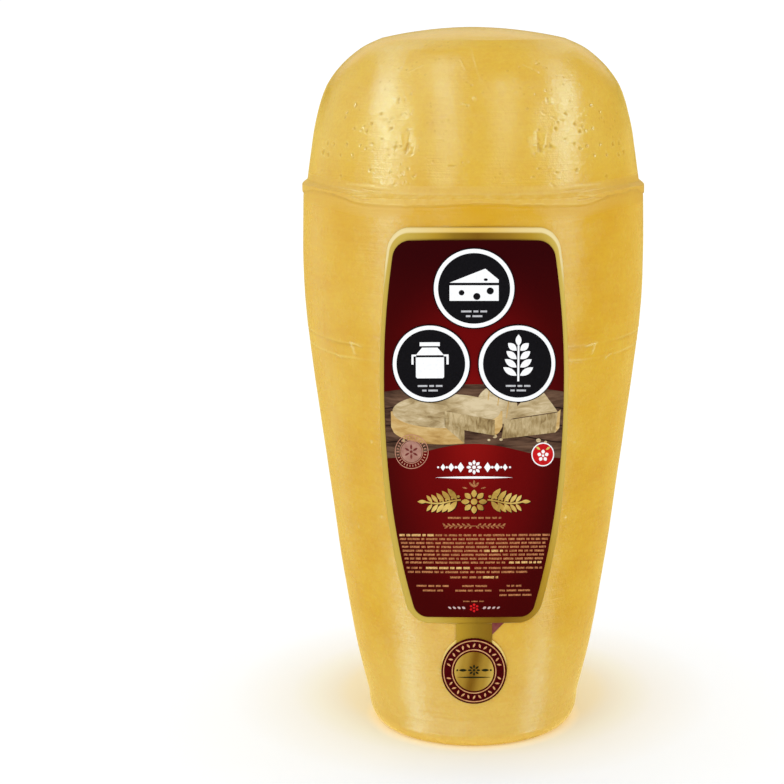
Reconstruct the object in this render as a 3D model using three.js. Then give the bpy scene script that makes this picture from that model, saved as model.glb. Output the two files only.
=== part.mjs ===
// A whole moulded provolone with its front label, in millimetres.
// +Z is up, the origin is the centre of the flat foot, and the label faces -Y.
import * as THREE from 'three';
import { mergeVertices } from 'three/addons/utils/BufferGeometryUtils.js';

// ---- Driving dimensions of the cheese ----
const footRadius = 46.5; // the flat spot it stands on
const heel = { radius: 53.8, height: 14.5 }; // where the rounded bottom edge becomes the flank
const flank = [ // radius, height, from the heel to the underside of the rim
  [heel.radius, heel.height], [60.1, 42.5], [66.7, 82.5], [73.3, 132.5],
  [79.8, 182.5], [83.2, 214], [84.1, 240], [83.6, 270.4],
];
const rim = { // the ledge that the two halves of the mould leave
  radius: 84.1, lower: 271.3, upper: 275.2, bevelTop: 277.9, wave: 0.35,
};
const dome = [ // radius, height, from the rim to the shoulder
  [81.4, rim.bevelTop], [79.4, 291], [77, 305], [72.3, 320.5], [65, 331.5],
  [54.8, 340.3], [44.5, 345.2],
];
const crownHeight = 350.2; // the top of the shallow cap inside the shoulder
const seams = [198, 206]; // two fine parting lines round the middle
const seam = { depth: 0.45, halfWidth: 0.9 };
const unevenness = 0.3; // how far the skin sinks in its soft, wide hollows
const dents = [ // angle from the label's middle in degrees, height, size, depth
  { angle: -27, height: 312, size: 9, depth: 1.1 },
  { angle: 27, height: 312, size: 9, depth: 1.1 },
  { angle: -52, height: 322, size: 10, depth: 0.8 },
  { angle: 52, height: 322, size: 10, depth: 0.8 },
  { angle: 128, height: 309, size: 11, depth: 0.9 },
  { angle: 190, height: 318, size: 10, depth: 0.9 },
];

// ---- Driving dimensions of the label ----
const field = { // the red printed area: widest at the belly, its long sides bowed
  bottom: 72.4, top: 257.4, belly: 185, halfWidth: 43.9,
  topNarrowing: 6.6, bottomNarrowing: 14.5, bottomBowPower: 2.4,
  topCorner: 6.5, bottomCorner: 5.5,
};
const border = { top: 5.5, side: 3.6, bottom: 2.9 }; // gold foil outside the field
const neckHalfWidth = 9; // gold strip from the label down to the seal
const seal = { height: 43.6, halfWidth: 16.9, halfHeight: 17.9 }; // gold round of the foil
const sealBand = { outer: 16.2, inner: 10.9 }; // maroon ring on the seal
const sealStretch = seal.halfHeight / seal.halfWidth;
const sealCentreRadius = 9.9;
const plaqueRadius = 18.6;
const plaques = { // round charcoal panels on the field: place along the girth, and height
  plaque_top: [0, 235.5],
  plaque_left: [-20.2, 200.4],
  plaque_right: [20.2, 200.4],
};
const tab = { left: 9.2, right: 14.3, top: 68.6, bottom: 63.6 }; // mauve paper corner

// ---- Layers that lie on one another, measured out from the cheese ----
const sheetGap = 0.25;
const sheetThickness = 0.3;
const layerPitch = sheetGap + sheetThickness;

// ---- Fineness ----
const girthSides = 76;
const flankRows = 24;
const domeRows = 13;
const heelRows = 5;
const crownRows = 4;
const sheetColumns = 12;
const panelRows = 14;
const ringSides = 40;
const ringBand = 6; // a round is drawn in rings about this wide

const materials = {
  cheese: new THREE.MeshStandardMaterial({ color: 0xe0b44e, roughness: 0.5, metalness: 0 }),
  gold: new THREE.MeshStandardMaterial({ color: 0xb79a3e, roughness: 0.35, metalness: 0.6 }),
  red: new THREE.MeshStandardMaterial({ color: 0x5a0c0c, roughness: 0.35, metalness: 0 }),
  maroon: new THREE.MeshStandardMaterial({ color: 0x4b0710, roughness: 0.35, metalness: 0 }),
  charcoal: new THREE.MeshStandardMaterial({ color: 0x1c1b20, roughness: 0.5, metalness: 0 }),
  mauve: new THREE.MeshStandardMaterial({ color: 0x8a4a62, roughness: 0.6, metalness: 0 }),
};

const toVectors = (pairs) => pairs.map(([radius, height]) => new THREE.Vector2(radius, height));

// ---- The cheese's profile ----
const flankCurve = new THREE.SplineCurve(toVectors(flank));
const domeCurve = new THREE.SplineCurve(toVectors(dome));

function heelPoints() {
  const across = heel.radius - footRadius;
  const arc = new THREE.EllipseCurve(
    footRadius, heel.height, across, heel.height, -Math.PI / 2, 0);
  return arc.getPoints(heelRows);
}

function crownPoints() {
  const [shoulderRadius, shoulderHeight] = dome[dome.length - 1];
  const rise = crownHeight - shoulderHeight;
  return Array.from({ length: crownRows }, (_, i) => {
    const t = 1 - (i + 1) / crownRows;
    return new THREE.Vector2(shoulderRadius * t, shoulderHeight + rise * (1 - t * t));
  });
}

function flankPoint(height) {
  let low = 0;
  let high = 1;
  for (let step = 0; step < 40; step += 1) {
    const middle = (low + high) / 2;
    if (flankCurve.getPoint(middle).y < height) low = middle;
    else high = middle;
  }
  return flankCurve.getPoint(low);
}

function flankPoints() {
  const [, bottom] = flank[0];
  const [, top] = flank[flank.length - 1];
  const even = Array.from({ length: flankRows + 1 }, (_, i) =>
    bottom + ((top - bottom) * i) / flankRows);
  const clear = even.filter((height) =>
    seams.every((line) => Math.abs(height - line) > 2 * seam.halfWidth));
  const atSeams = seams.flatMap((line) => [line - seam.halfWidth, line, line + seam.halfWidth]);
  return [...clear, ...atSeams].sort((a, b) => a - b).map(flankPoint);
}

function cheeseProfile() {
  return [
    new THREE.Vector2(0, 0),
    new THREE.Vector2(footRadius / 2, 0),
    ...heelPoints(),
    ...flankPoints().slice(1),
    new THREE.Vector2(rim.radius, rim.lower),
    new THREE.Vector2(rim.radius, rim.upper),
    ...domeCurve.getPoints(domeRows),
    ...crownPoints(),
  ];
}

// ---- The cheese's relief: soft hollows, parting lines, dents and the rim's wavy edge ----
function hollows(angle, height) {
  const wide = Math.sin(2 * angle + 0.7 + height / 130);
  const narrow = Math.sin(5 * angle - height / 48);
  return (unevenness * (2 + 1.3 * wide + 0.7 * narrow)) / 4;
}

function seamDepth(height) {
  const nearest = Math.min(...seams.map((line) => Math.abs(height - line)));
  return seam.depth * Math.max(0, 1 - nearest / seam.halfWidth);
}

function dentDepth(angle, radius, height) {
  return dents.reduce((depth, dent) => {
    const turn = angle - THREE.MathUtils.degToRad(dent.angle);
    const along = Math.atan2(Math.sin(turn), Math.cos(turn)) * radius;
    const distance = Math.hypot(along, height - dent.height) / dent.size;
    return depth + dent.depth * Math.exp(-2 * distance * distance);
  }, 0);
}

function rimWave(angle, height) {
  const onLowerEdge = Math.abs(height - rim.lower) < 0.01;
  return onLowerEdge ? rim.wave * (Math.sin(7 * angle + 0.4) + 0.6 * Math.sin(17 * angle)) : 0;
}

function cheeseGeometry() {
  const turned = new THREE.LatheGeometry(cheeseProfile(), girthSides);
  turned.rotateX(Math.PI / 2);
  turned.deleteAttribute('normal');
  turned.deleteAttribute('uv');
  const solid = mergeVertices(turned, 1e-4);
  const points = solid.attributes.position;
  const point = new THREE.Vector3();
  for (let i = 0; i < points.count; i += 1) {
    point.fromBufferAttribute(points, i);
    const radius = Math.hypot(point.x, point.y);
    const onFoot = point.z < heel.height / 2;
    if (radius > 1 && !onFoot) {
      const angle = Math.atan2(point.x, -point.y);
      const edge = Math.min(1, radius / heel.radius);
      const sunk = edge * (hollows(angle, point.z) + seamDepth(point.z))
        + dentDepth(angle, radius, point.z);
      const scale = (radius - sunk) / radius;
      const height = point.z + rimWave(angle, point.z);
      points.setXYZ(i, point.x * scale, point.y * scale, height);
    }
  }
  solid.computeVertexNormals();
  return solid;
}

// ---- Sheets on the cheese: x runs along the girth, z is the height, -y is outward ----
function wrapOnCheese(flat, layer) {
  flat.deleteAttribute('normal');
  flat.deleteAttribute('uv');
  const sheet = mergeVertices(flat, 1e-4);
  const points = sheet.attributes.position;
  const lift = sheetGap + layer * layerPitch;
  const point = new THREE.Vector3();
  for (let i = 0; i < points.count; i += 1) {
    point.fromBufferAttribute(points, i);
    const skin = flankPoint(point.z);
    const above = flankPoint(point.z + 1);
    const slope = Math.atan2(above.x - skin.x, above.y - skin.y);
    const outward = lift - point.y;
    const angle = point.x / skin.x;
    const radius = skin.x + outward * Math.cos(slope);
    points.setXYZ(i, radius * Math.sin(angle), -radius * Math.cos(angle),
      point.z - outward * Math.sin(slope));
  }
  sheet.computeVertexNormals();
  return sheet;
}

// A sheet with one span at each height: a flat block whose rows are drawn out to halfWidth.
function spanSheet(heights, halfWidth, columns) {
  const rows = heights.length - 1;
  const block = new THREE.BoxGeometry(2, sheetThickness, rows, columns, 1, rows);
  const points = block.attributes.position;
  for (let i = 0; i < points.count; i += 1) {
    const height = heights[Math.round(points.getZ(i) + rows / 2)];
    points.setXYZ(i, points.getX(i) * halfWidth(height),
      points.getY(i) - sheetThickness / 2, height);
  }
  return block;
}

// A round or a ring, drawn as rings so that it can follow the cheese's curve.
function ringSheet(outer, inner, girthPlace, height, stretch = 1) {
  const bands = Math.max(1, Math.round((outer - inner) / ringBand));
  const radii = Array.from({ length: bands + 1 }, (_, i) =>
    inner + ((outer - inner) * i) / bands);
  const outside = radii.map((radius) => new THREE.Vector2(radius, -sheetThickness));
  const inside = radii.map((radius) => new THREE.Vector2(radius, 0)).reverse();
  const closing = inner > 0 ? [outside[0]] : [];
  const flat = new THREE.LatheGeometry([...outside, ...inside, ...closing], ringSides);
  flat.scale(1, 1, stretch);
  flat.translate(girthPlace, 0, height);
  return flat;
}

// ---- The label's outline ----
function roundedCorner(radius, distance) {
  const inside = Math.max(0, radius - distance);
  return radius - Math.sqrt(Math.max(0, radius * radius - inside * inside));
}

function fieldSide(height) {
  const above = Math.max(0, height - field.belly) / (field.top - field.belly);
  const below = Math.max(0, field.belly - height) / (field.belly - field.bottom);
  return field.halfWidth - field.topNarrowing * above ** 2
    - field.bottomNarrowing * below ** field.bottomBowPower;
}

function panelHalfWidth(height, extra) {
  const top = field.top + extra.top;
  const bottom = field.bottom - extra.bottom;
  return fieldSide(height) + extra.side
    - roundedCorner(field.topCorner + extra.side, top - height)
    - roundedCorner(field.bottomCorner + extra.side, height - bottom);
}

const flush = { top: 0, side: 0, bottom: 0 };
const fieldHalfWidth = (height) => panelHalfWidth(height, flush);

function foilHalfWidth(height) {
  const panelBottom = field.bottom - border.bottom;
  if (height > panelBottom - 0.01) return panelHalfWidth(height, border);
  const up = (height - seal.height) / seal.halfHeight;
  const round = seal.halfWidth * Math.sqrt(Math.max(0.004, 1 - up * up));
  return height > seal.height ? Math.max(round, neckHalfWidth) : round;
}

function panelHeights(bottom, top, corner) {
  const within = [0, 0.12, 0.35, 0.65, 1].map((t) => t * corner);
  const middle = Array.from({ length: panelRows - 1 }, (_, i) =>
    bottom + corner + ((top - bottom - 2 * corner) * (i + 1)) / panelRows);
  return [...within.map((t) => bottom + t), ...middle, ...within.map((t) => top - t).reverse()];
}

function foilHeights() {
  const sealBottom = seal.height - seal.halfHeight;
  const panelBottom = field.bottom - border.bottom;
  const round = [0, 0.02, 0.08, 0.17, 0.3, 0.5, 0.7, 0.83, 0.92].map((t) =>
    sealBottom + 2 * seal.halfHeight * t);
  const strip = [panelBottom - 4, panelBottom - 0.4];
  return [...round, ...strip,
    ...panelHeights(panelBottom, field.top + border.top, field.topCorner + border.side)];
}

const fieldHeights = () => panelHeights(field.bottom, field.top, field.topCorner);

// A three-cornered scrap that peeps out below the label, beside the neck.
function tabSheet() {
  const corner = new THREE.Shape([
    new THREE.Vector2(tab.left, tab.top),
    new THREE.Vector2(tab.left, tab.bottom),
    new THREE.Vector2(tab.right, tab.top),
  ]);
  const flat = new THREE.ExtrudeGeometry(corner, { depth: sheetThickness, bevelEnabled: false });
  return flat.rotateX(Math.PI / 2);
}

// ---- Assembly ----
function addPiece(group, name, geometry, material) {
  const piece = new THREE.Mesh(geometry, material);
  piece.name = name;
  group.add(piece);
}

const provolone = new THREE.Group();
provolone.name = 'provolone';
addPiece(provolone, 'cheese', cheeseGeometry(), materials.cheese);
addPiece(provolone, 'label_foil',
  wrapOnCheese(spanSheet(foilHeights(), foilHalfWidth, sheetColumns), 0), materials.gold);
addPiece(provolone, 'label_field',
  wrapOnCheese(spanSheet(fieldHeights(), fieldHalfWidth, sheetColumns), 1), materials.red);
for (const [name, [girthPlace, height]] of Object.entries(plaques)) {
  addPiece(provolone, name,
    wrapOnCheese(ringSheet(plaqueRadius, 0, girthPlace, height), 2), materials.charcoal);
}
addPiece(provolone, 'seal_band',
  wrapOnCheese(ringSheet(sealBand.outer, sealBand.inner, 0, seal.height, sealStretch), 1),
  materials.maroon);
addPiece(provolone, 'seal_centre',
  wrapOnCheese(ringSheet(sealCentreRadius, 0, 0, seal.height, sealStretch), 1), materials.gold);
addPiece(provolone, 'tab_corner', wrapOnCheese(tabSheet(), 0), materials.mauve);

export default provolone;
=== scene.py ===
import math
import random

import bmesh
import bpy
import numpy as np
from mathutils import Matrix, Vector, noise


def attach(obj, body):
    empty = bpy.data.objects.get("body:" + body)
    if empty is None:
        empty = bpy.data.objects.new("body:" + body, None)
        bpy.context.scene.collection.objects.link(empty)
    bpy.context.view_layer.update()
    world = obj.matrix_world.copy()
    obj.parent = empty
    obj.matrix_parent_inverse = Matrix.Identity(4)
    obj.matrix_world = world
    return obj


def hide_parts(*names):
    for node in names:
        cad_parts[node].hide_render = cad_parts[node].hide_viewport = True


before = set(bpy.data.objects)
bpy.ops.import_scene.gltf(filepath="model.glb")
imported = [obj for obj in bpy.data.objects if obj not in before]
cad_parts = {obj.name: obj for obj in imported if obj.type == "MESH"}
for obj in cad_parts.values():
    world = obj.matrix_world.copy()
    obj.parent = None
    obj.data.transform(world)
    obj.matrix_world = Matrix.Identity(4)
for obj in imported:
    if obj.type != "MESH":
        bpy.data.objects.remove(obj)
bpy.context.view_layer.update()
scene = bpy.context.scene
print("stage: frame loaded")

# Every shape is drawn in millimetres and brought to metres when it becomes a piece.
# Angles run from the middle of the label, which faces -Y, towards +X.

cheese = {
    "footRadius": 46.5,
    "heelRadius": 53.8,
    "heelHeight": 14.5,
    "flank": [(53.8, 14.5), (60.1, 42.5), (66.7, 82.5), (73.3, 132.5),
              (79.8, 182.5), (83.2, 214), (84.1, 240), (83.6, 269.9)],
    "rimRadius": 84.1,
    "rimLower": 270.8,
    "rimUpper": 274.8,
    "dome": [(81.4, 277.1), (79.4, 291), (77, 305), (72.3, 320.5), (65, 331.5),
             (54.8, 340.3), (44.5, 345.2)],
    "crownHeight": 350.2,
    "turns": 232,
    "flankStep": 2.0,
    "seamStep": 0.42,
    "domeRows": 66,
    "seams": (198, 205),
    "unevenness": 0.3,
    "waves": 0.16,
    "wrinkles": (0.045, 0.065),  # below and above the rim
    "rimWave": 0.2,
    "rimRagged": 0.45,
    "undercut": 0.13,
    # the rest of the rim's look goes by the angle to either side: how far the lip climbs,
    # and how much painted highlight its edges get, how much painted shadow falls below it, how much painted
    # shade lies in its crease, and how dull it is
    "rimClimb": [
        (0, 3.2), (8, 2.7), (14, 2.1), (18, 2.0), (23.5, 1.4), (30, 1.2), (36, 0.9), (39.5, 1.1), (42.5, 1.9),
        (45.5, 2.9), (48.5, 3.6), (52, 4.1), (55, 4.2), (61, 4.5), (65, 4.6), (70, 3.6), (77, 1.8), (84, 0.5),
        (90, 0.3), (110, 0.9), (135, 2.4), (160, 1.4), (180, 2.0),
    ],
    "rimHighlight": [(0, 1), (41, 1), (46, 0.2), (75, 0.25), (90, 0.5), (180, 0.8)],
    "rimShaded": [(0, 1), (36, 0.8), (58, 0.3), (100, 0.5), (180, 0.9)],
    "rimCreaseShade": [(0, 0.2), (41, 0.2), (46, 0.7), (78, 0.6), (100, 0.3), (180, 0.3)],
    "rimDull": [(12, 0.2), (26, 1)],
    "limit": 83.95,  # no skin lies further out than this
}

dents = [  # angle, height, size, depth
    (-27, 312, 9, 0.4), (27, 312, 9, 0.4), (-52, 322, 10, 0.5), (52, 322, 10, 0.5),
    (128, 309, 11, 0.9), (190, 318, 10, 0.9),
]

pits = [  # angle, height, radius, depth; each has its twin on the other side
    (47.6, 315.9, 1.1, 0.4), (52.4, 310.1, 0.9, 0.3), (34.5, 312.7, 0.9, 0.4),
    (37.9, 308.0, 1.0, 0.5), (41.2, 306.7, 0.85, 0.3), (29.3, 306.4, 1.0, 0.5),
    (39.7, 304.4, 1.1, 0.5), (42.2, 304.7, 0.85, 0.3), (32.7, 301.4, 0.85, 0.3),
    (26.8, 298.3, 1.1, 0.5), (24.9, 298.6, 0.85, 0.4), (56.8, 297.3, 1.2, 0.4),
    (48.9, 298.0, 1.0, 0.4), (41.9, 297.8, 0.9, 0.35), (39.1, 296.8, 0.9, 0.35),
    (36.5, 299.1, 0.9, 0.35), (64.5, 293.0, 1.5, 0.4), (60.0, 292.1, 1.2, 0.4),
    (45.2, 293.2, 0.9, 0.35), (36.6, 286.9, 0.9, 0.35), (28.3, 286.5, 0.9, 0.3),
    (21.9, 288.6, 0.85, 0.25), (19.8, 285.0, 0.85, 0.25), (50.4, 282.8, 1.0, 0.3),
    (22.9, 306.0, 0.85, 0.3), (20.9, 295.4, 0.85, 0.3), (61.5, 297.6, 1.2, 0.35),
    (51.8, 312.5, 1.0, 0.3), (46.0, 305.5, 0.9, 0.35), (52.0, 292.8, 1.0, 0.35),
    (30.6, 309.2, 0.85, 0.3),
]

strokes = [  # path of angle and height, radii at its ends, depth or (below 0) rise, has a twin
    ([(22.1, 305.2), (22.3, 300.6)], 0.45, 0.55, 0.18, True),
    ([(22.3, 299.8), (22.8, 296.9)], 0.8, 1.3, 0.5, True),
    ([(25.2, 303.5), (24.4, 298.5)], 0.5, 0.7, -0.15, True),
    ([(19.6, 303.0), (19.4, 298.0), (20.6, 294.6)], 0.6, 1.0, -0.16, True),
    ([(32.8, 310.0), (31.6, 310.3)], 0.7, 0.6, 0.18, True),
    ([(30.1, 310.7), (28.9, 311.3)], 0.7, 0.6, 0.16, True),
    ([(26.2, 313.0), (24.6, 314.0)], 0.6, 0.5, 0.12, True),
    ([(28.9, 319.0)], 1.9, 1.9, -0.3, True),
    ([(27.8, 319.6), (27.9, 318.2)], 0.8, 0.7, 0.28, True),
    ([(27.0, 331.4), (21.7, 334.7)], 0.6, 0.6, -0.14, True),
    ([(46.5, 279.3), (39.2, 279.6), (35.4, 279.5), (31.7, 279.1), (28, 279)], 0.75, 0.8, -0.1, True),
    ([(38.4, 278.3), (31.6, 277.9)], 0.4, 0.4, 0.14, True),
    ([(43, 274.8), (35.7, 276.1)], 0.6, 0.6, -0.2, True),
    ([(44.9, 271.5), (41.8, 273.6), (37.3, 273.3), (34.8, 273.4)], 0.5, 0.35, 0.16, True),
    ([(27.6, 279.8), (26.0, 281.6)], 0.8, 0.6, 0.12, True),
    ([(-5.9, 337.3), (-3.0, 332.6)], 0.6, 0.4, -0.12, False),
    ([(-0.6, 341.2), (2.6, 328.3)], 0.55, 0.5, -0.12, False),
    ([(-3.6, 317.7)], 0.9, 0.9, -0.45, False),
    ([(-2.1, 317.0)], 0.7, 0.7, 0.3, False),
    ([(0.6, 320.2)], 0.9, 0.9, -0.4, False),
    ([(-8.2, 290.3), (-6.2, 290.3)], 0.6, 0.6, 0.2, False),
    ([(44.9, 205.4), (40.4, 204.5)], 0.95, 0.4, -0.3, True),
    ([(44.4, 204.8), (43.2, 200.3)], 0.95, 0.45, -0.34, True),
    ([(53.6, 198.5), (50.4, 197.1)], 0.5, 0.8, -0.34, True),
    ([(39.3, 157.8)], 0.9, 0.9, -0.25, True),
    ([(38.7, 120.0)], 0.9, 0.9, -0.25, True),
]

hiddenPits = {"seed": 41, "dome": 74, "flank": 18}  # strewn over the sides and the back


def splinePoint(points, share):
    # a uniform spline through the points, as the construction draws it
    place = share * (len(points) - 1)
    start = min(int(place), len(points) - 2)
    t = place - start
    before = points[max(start - 1, 0)]
    here = points[start]
    ahead = points[start + 1]
    beyond = points[min(start + 2, len(points) - 1)]
    found = []
    for a, b, c, d in zip(before, here, ahead, beyond):
        leave = (c - a) / 2
        reach = (d - b) / 2
        found.append((2 * b - 2 * c + leave + reach) * t ** 3
                     + (-3 * b + 3 * c - 2 * leave - reach) * t ** 2 + leave * t + b)
    return tuple(found)


flankLine = [splinePoint(cheese["flank"], i / 900) for i in range(901)]
flankRadii = [radius for radius, height in flankLine]
flankHeights = [height for radius, height in flankLine]


def flankRadius(height):
    return float(np.interp(height, flankHeights, flankRadii))


def heelPoints():
    across = cheese["heelRadius"] - cheese["footRadius"]
    return [(cheese["footRadius"] + across * math.sin(turn),
             cheese["heelHeight"] * (1 - math.cos(turn)))
            for turn in np.linspace(0, math.pi / 2, 13)]


def flankPoints():
    bottom = cheese["flank"][0][1]
    top = cheese["flank"][-1][1]
    even = np.arange(bottom + cheese["flankStep"], top - 2.4, cheese["flankStep"])
    nearSeams = [seam + step for seam in cheese["seams"]
                 for step in np.arange(-2.52, 2.53, cheese["seamStep"])]
    clear = [height for height in even
             if all(abs(height - seam) > 2.9 for seam in cheese["seams"])]
    nearRim = np.arange(top - 2.4, top + 0.01, 0.4)
    return [(flankRadius(height), height) for height in sorted([*clear, *nearSeams, *nearRim])]


def rimPoints():
    radius = cheese["rimRadius"]
    lower = cheese["rimLower"]
    upper = cheese["rimUpper"]
    bevelRadius, bevelTop = cheese["dome"][0]
    face = [(radius, height) for height in np.linspace(lower, upper, 8)]
    bevel = [(radius + (bevelRadius - radius) * t, upper + (bevelTop - upper) * t)
             for t in (0.12, 0.3, 0.5, 0.7, 0.88)]
    return [(radius - 0.25, lower - 0.35), *face, *bevel]


def domePoints():
    rows = cheese["domeRows"]
    return [splinePoint(cheese["dome"], i / rows) for i in range(rows + 1)]


def crownPoints():
    shoulderRadius, shoulderHeight = cheese["dome"][-1]
    rise = cheese["crownHeight"] - shoulderHeight
    return [(shoulderRadius * t, shoulderHeight + rise * (1 - t * t))
            for t in (0.96, 0.92, 0.87, 0.81, 0.74, 0.66, 0.57, 0.47, 0.36, 0.24, 0.12, 0)]


def outlinePoints():
    foot = [(cheese["footRadius"] * t, 0) for t in (0, 0.15, 0.35, 0.6, 0.82, 0.94)]
    return [*foot, *heelPoints(), *flankPoints(), *rimPoints(), *domePoints(), *crownPoints()]


def makePiece(name, bm, finish, replaced=(), sharpAngle=35):
    bmesh.ops.scale(bm, vec=(0.001, 0.001, 0.001), verts=bm.verts)
    mesh = bpy.data.meshes.new(name)
    bm.to_mesh(mesh)
    bm.free()
    for polygon in mesh.polygons:
        polygon.use_smooth = True
    mesh.set_sharp_from_angle(angle=math.radians(sharpAngle))
    mesh.materials.append(finish)
    piece = bpy.data.objects.new(name, mesh)
    scene.collection.objects.link(piece)
    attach(piece, "root")
    if replaced:
        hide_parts(*replaced)
    mesh.calc_loop_triangles()
    print("piece:", name, len(mesh.loop_triangles), "triangles")
    return piece


def paint(red, green, blue):
    # a colour as the eye names it, 0 to 255, for the linear sockets
    shares = [value / 255 for value in (red, green, blue)]
    return (*[s / 12.92 if s < 0.04045 else ((s + 0.055) / 1.055) ** 2.4 for s in shares], 1)


def newFinish(name, **settings):
    finish = bpy.data.materials.new(name)
    finish.use_nodes = True
    shader = finish.node_tree.nodes["Principled BSDF"]
    for socket, value in settings.items():
        shader.inputs[socket.replace("_", " ")].default_value = value
    return finish, finish.node_tree


def feed(tree, socket, value):
    # links an output to the socket, or writes a number, a place or a colour into it
    if isinstance(value, bpy.types.NodeSocket):
        tree.links.new(value, socket)
    elif socket.type == "RGBA" and len(value) == 3:
        socket.default_value = paint(*value)
    else:
        socket.default_value = value


def addNode(tree, kind, values=None, **settings):
    # makes a node and feeds its sockets, which go by name or number
    made = tree.nodes.new(kind)
    for name, value in settings.items():
        setattr(made, name, value)
    for socket, value in (values or {}).items():
        feed(tree, made.inputs[socket], value)
    return made


def placeOnPiece(tree, stretch=(1, 1, 1), shift=(0, 0, 0)):
    spot = addNode(tree, "ShaderNodeTexCoord").outputs["Object"]
    moved = addNode(tree, "ShaderNodeMapping", {"Vector": spot, "Scale": stretch, "Location": shift})
    return moved.outputs["Vector"]


def axisOnPiece(tree, axis):
    return addNode(tree, "ShaderNodeSeparateXYZ", {0: placeOnPiece(tree)}).outputs[axis]


def lengthOf(tree, place):
    return addNode(tree, "ShaderNodeVectorMath", {0: place}, operation="LENGTH").outputs["Value"]


def addNoise(tree, place, scale, detail=3, roughness=0.55, distortion=0):
    made = addNode(tree, "ShaderNodeTexNoise", {
        "Vector": place, "Scale": scale, "Detail": detail, "Roughness": roughness,
        "Distortion": distortion})
    return made.outputs["Fac"]


def addRamp(tree, amount, stops, easing="LINEAR"):
    # the ramp comes with two stops, which become the first and the last
    made = addNode(tree, "ShaderNodeValToRGB", {"Fac": amount})
    made.color_ramp.interpolation = easing
    for index, (place, colour) in enumerate([stops[0], stops[-1], *stops[1:-1]]):
        stop = made.color_ramp.elements[index] if index < 2 else made.color_ramp.elements.new(place)
        stop.position = place
        stop.color = paint(*colour) if len(colour) == 3 else colour
    return made.outputs["Color"]


def mixColours(tree, amount, first, second, blend="MIX"):
    values = {0: amount, 6: first, 7: second}
    return addNode(tree, "ShaderNodeMix", values, data_type="RGBA", blend_type=blend).outputs[2]


def work(tree, operation, first, second=0.0, third=0.0):
    values = {0: first, 1: second, 2: third}
    return addNode(tree, "ShaderNodeMath", values, operation=operation).outputs[0]


def remap(tree, value, low, high, newLow=0, newHigh=1):
    values = {0: value, 1: low, 2: high, 3: newLow, 4: newHigh}
    return addNode(tree, "ShaderNodeMapRange", values).outputs[0]


def readMark(tree, name):
    return addNode(tree, "ShaderNodeAttribute", attribute_name=name).outputs["Fac"]


def dress(finish, colour, rough, relief, strength, distance):
    # gives a finish its colour, its roughness and its fine relief
    tree = finish.node_tree
    bump = addNode(tree, "ShaderNodeBump", {"Height": relief, "Strength": strength, "Distance": distance})
    sockets = tree.nodes["Principled BSDF"].inputs
    for name, value in (("Base Color", colour), ("Roughness", rough), ("Normal", bump.outputs["Normal"])):
        feed(tree, sockets[name], value)
    return finish


rindFinish = {
    "deep": (214, 160, 26),
    "warm": (218, 168, 32),
    "pale": (222, 177, 49),
    # painted light: the dome is paler than the flank
    "dome": (227, 193, 92),
    # painted light: paler near the heel, and paler still at the foot
    "heel": (233, 200, 114),
    "foot": (250, 212, 106),
    # painted highlight on the lip, the bevel, the seam ridges, the rims of pits and raised marks
    "lip": (232, 200, 104),
    # painted shadow under the lip
    "lipShadow": (216, 163, 8),
    # painted shade in pinholes, pits, creases and seam grooves
    "hollowShade": (198, 150, 40),
    "domeFade": (0.27, 0.3, 0.04, 0.42),  # two heights, and how much of the colour shows at each
    "heelFade": (0.07, 0.02, 0, 0.42),
    "footFade": (0.008, 0.003, 0, 0.7),
    "ringShare": 0.35,
    "grainShare": 0.22,
    "gloss": 0.35,
    "glow": 0.12,  # light that passes under the skin
    "glowReach": 0.004,
    "glowSpread": (1.0, 0.55, 0.15),
    "flankRough": (0.21, 0.31),
    "domeRough": (0.17, 0.24),
    "domeRise": (0.268, 0.276),  # the roughness goes from the flank's to the dome's here
    "rimRough": 0.46,
    "patchScale": 42,
    "ringScale": 900,
    "grainScale": 620,
    "softScale": 130,
    "speckScale": 300,
    "speckPatches": 60,
}


def makeSpecks(tree, place):
    # faint pinholes that lie in patches; the rind darkens them with painted shade
    cells = addNode(tree, "ShaderNodeTexVoronoi", {"Vector": place, "Scale": rindFinish["speckScale"]})
    near = remap(tree, cells.outputs["Distance"], 0.12, 0.24, 1, 0)
    patches = remap(tree, addNoise(tree, place, rindFinish["speckPatches"], 2), 0.42, 0.6)
    return work(tree, "MULTIPLY", near, patches)


def layColours(tree, tone, amounts):
    # lays the rind's named colours over a tone, one after another
    for name, amount in amounts:
        tone = mixColours(tree, amount, tone, rindFinish[name])
    return tone


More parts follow.
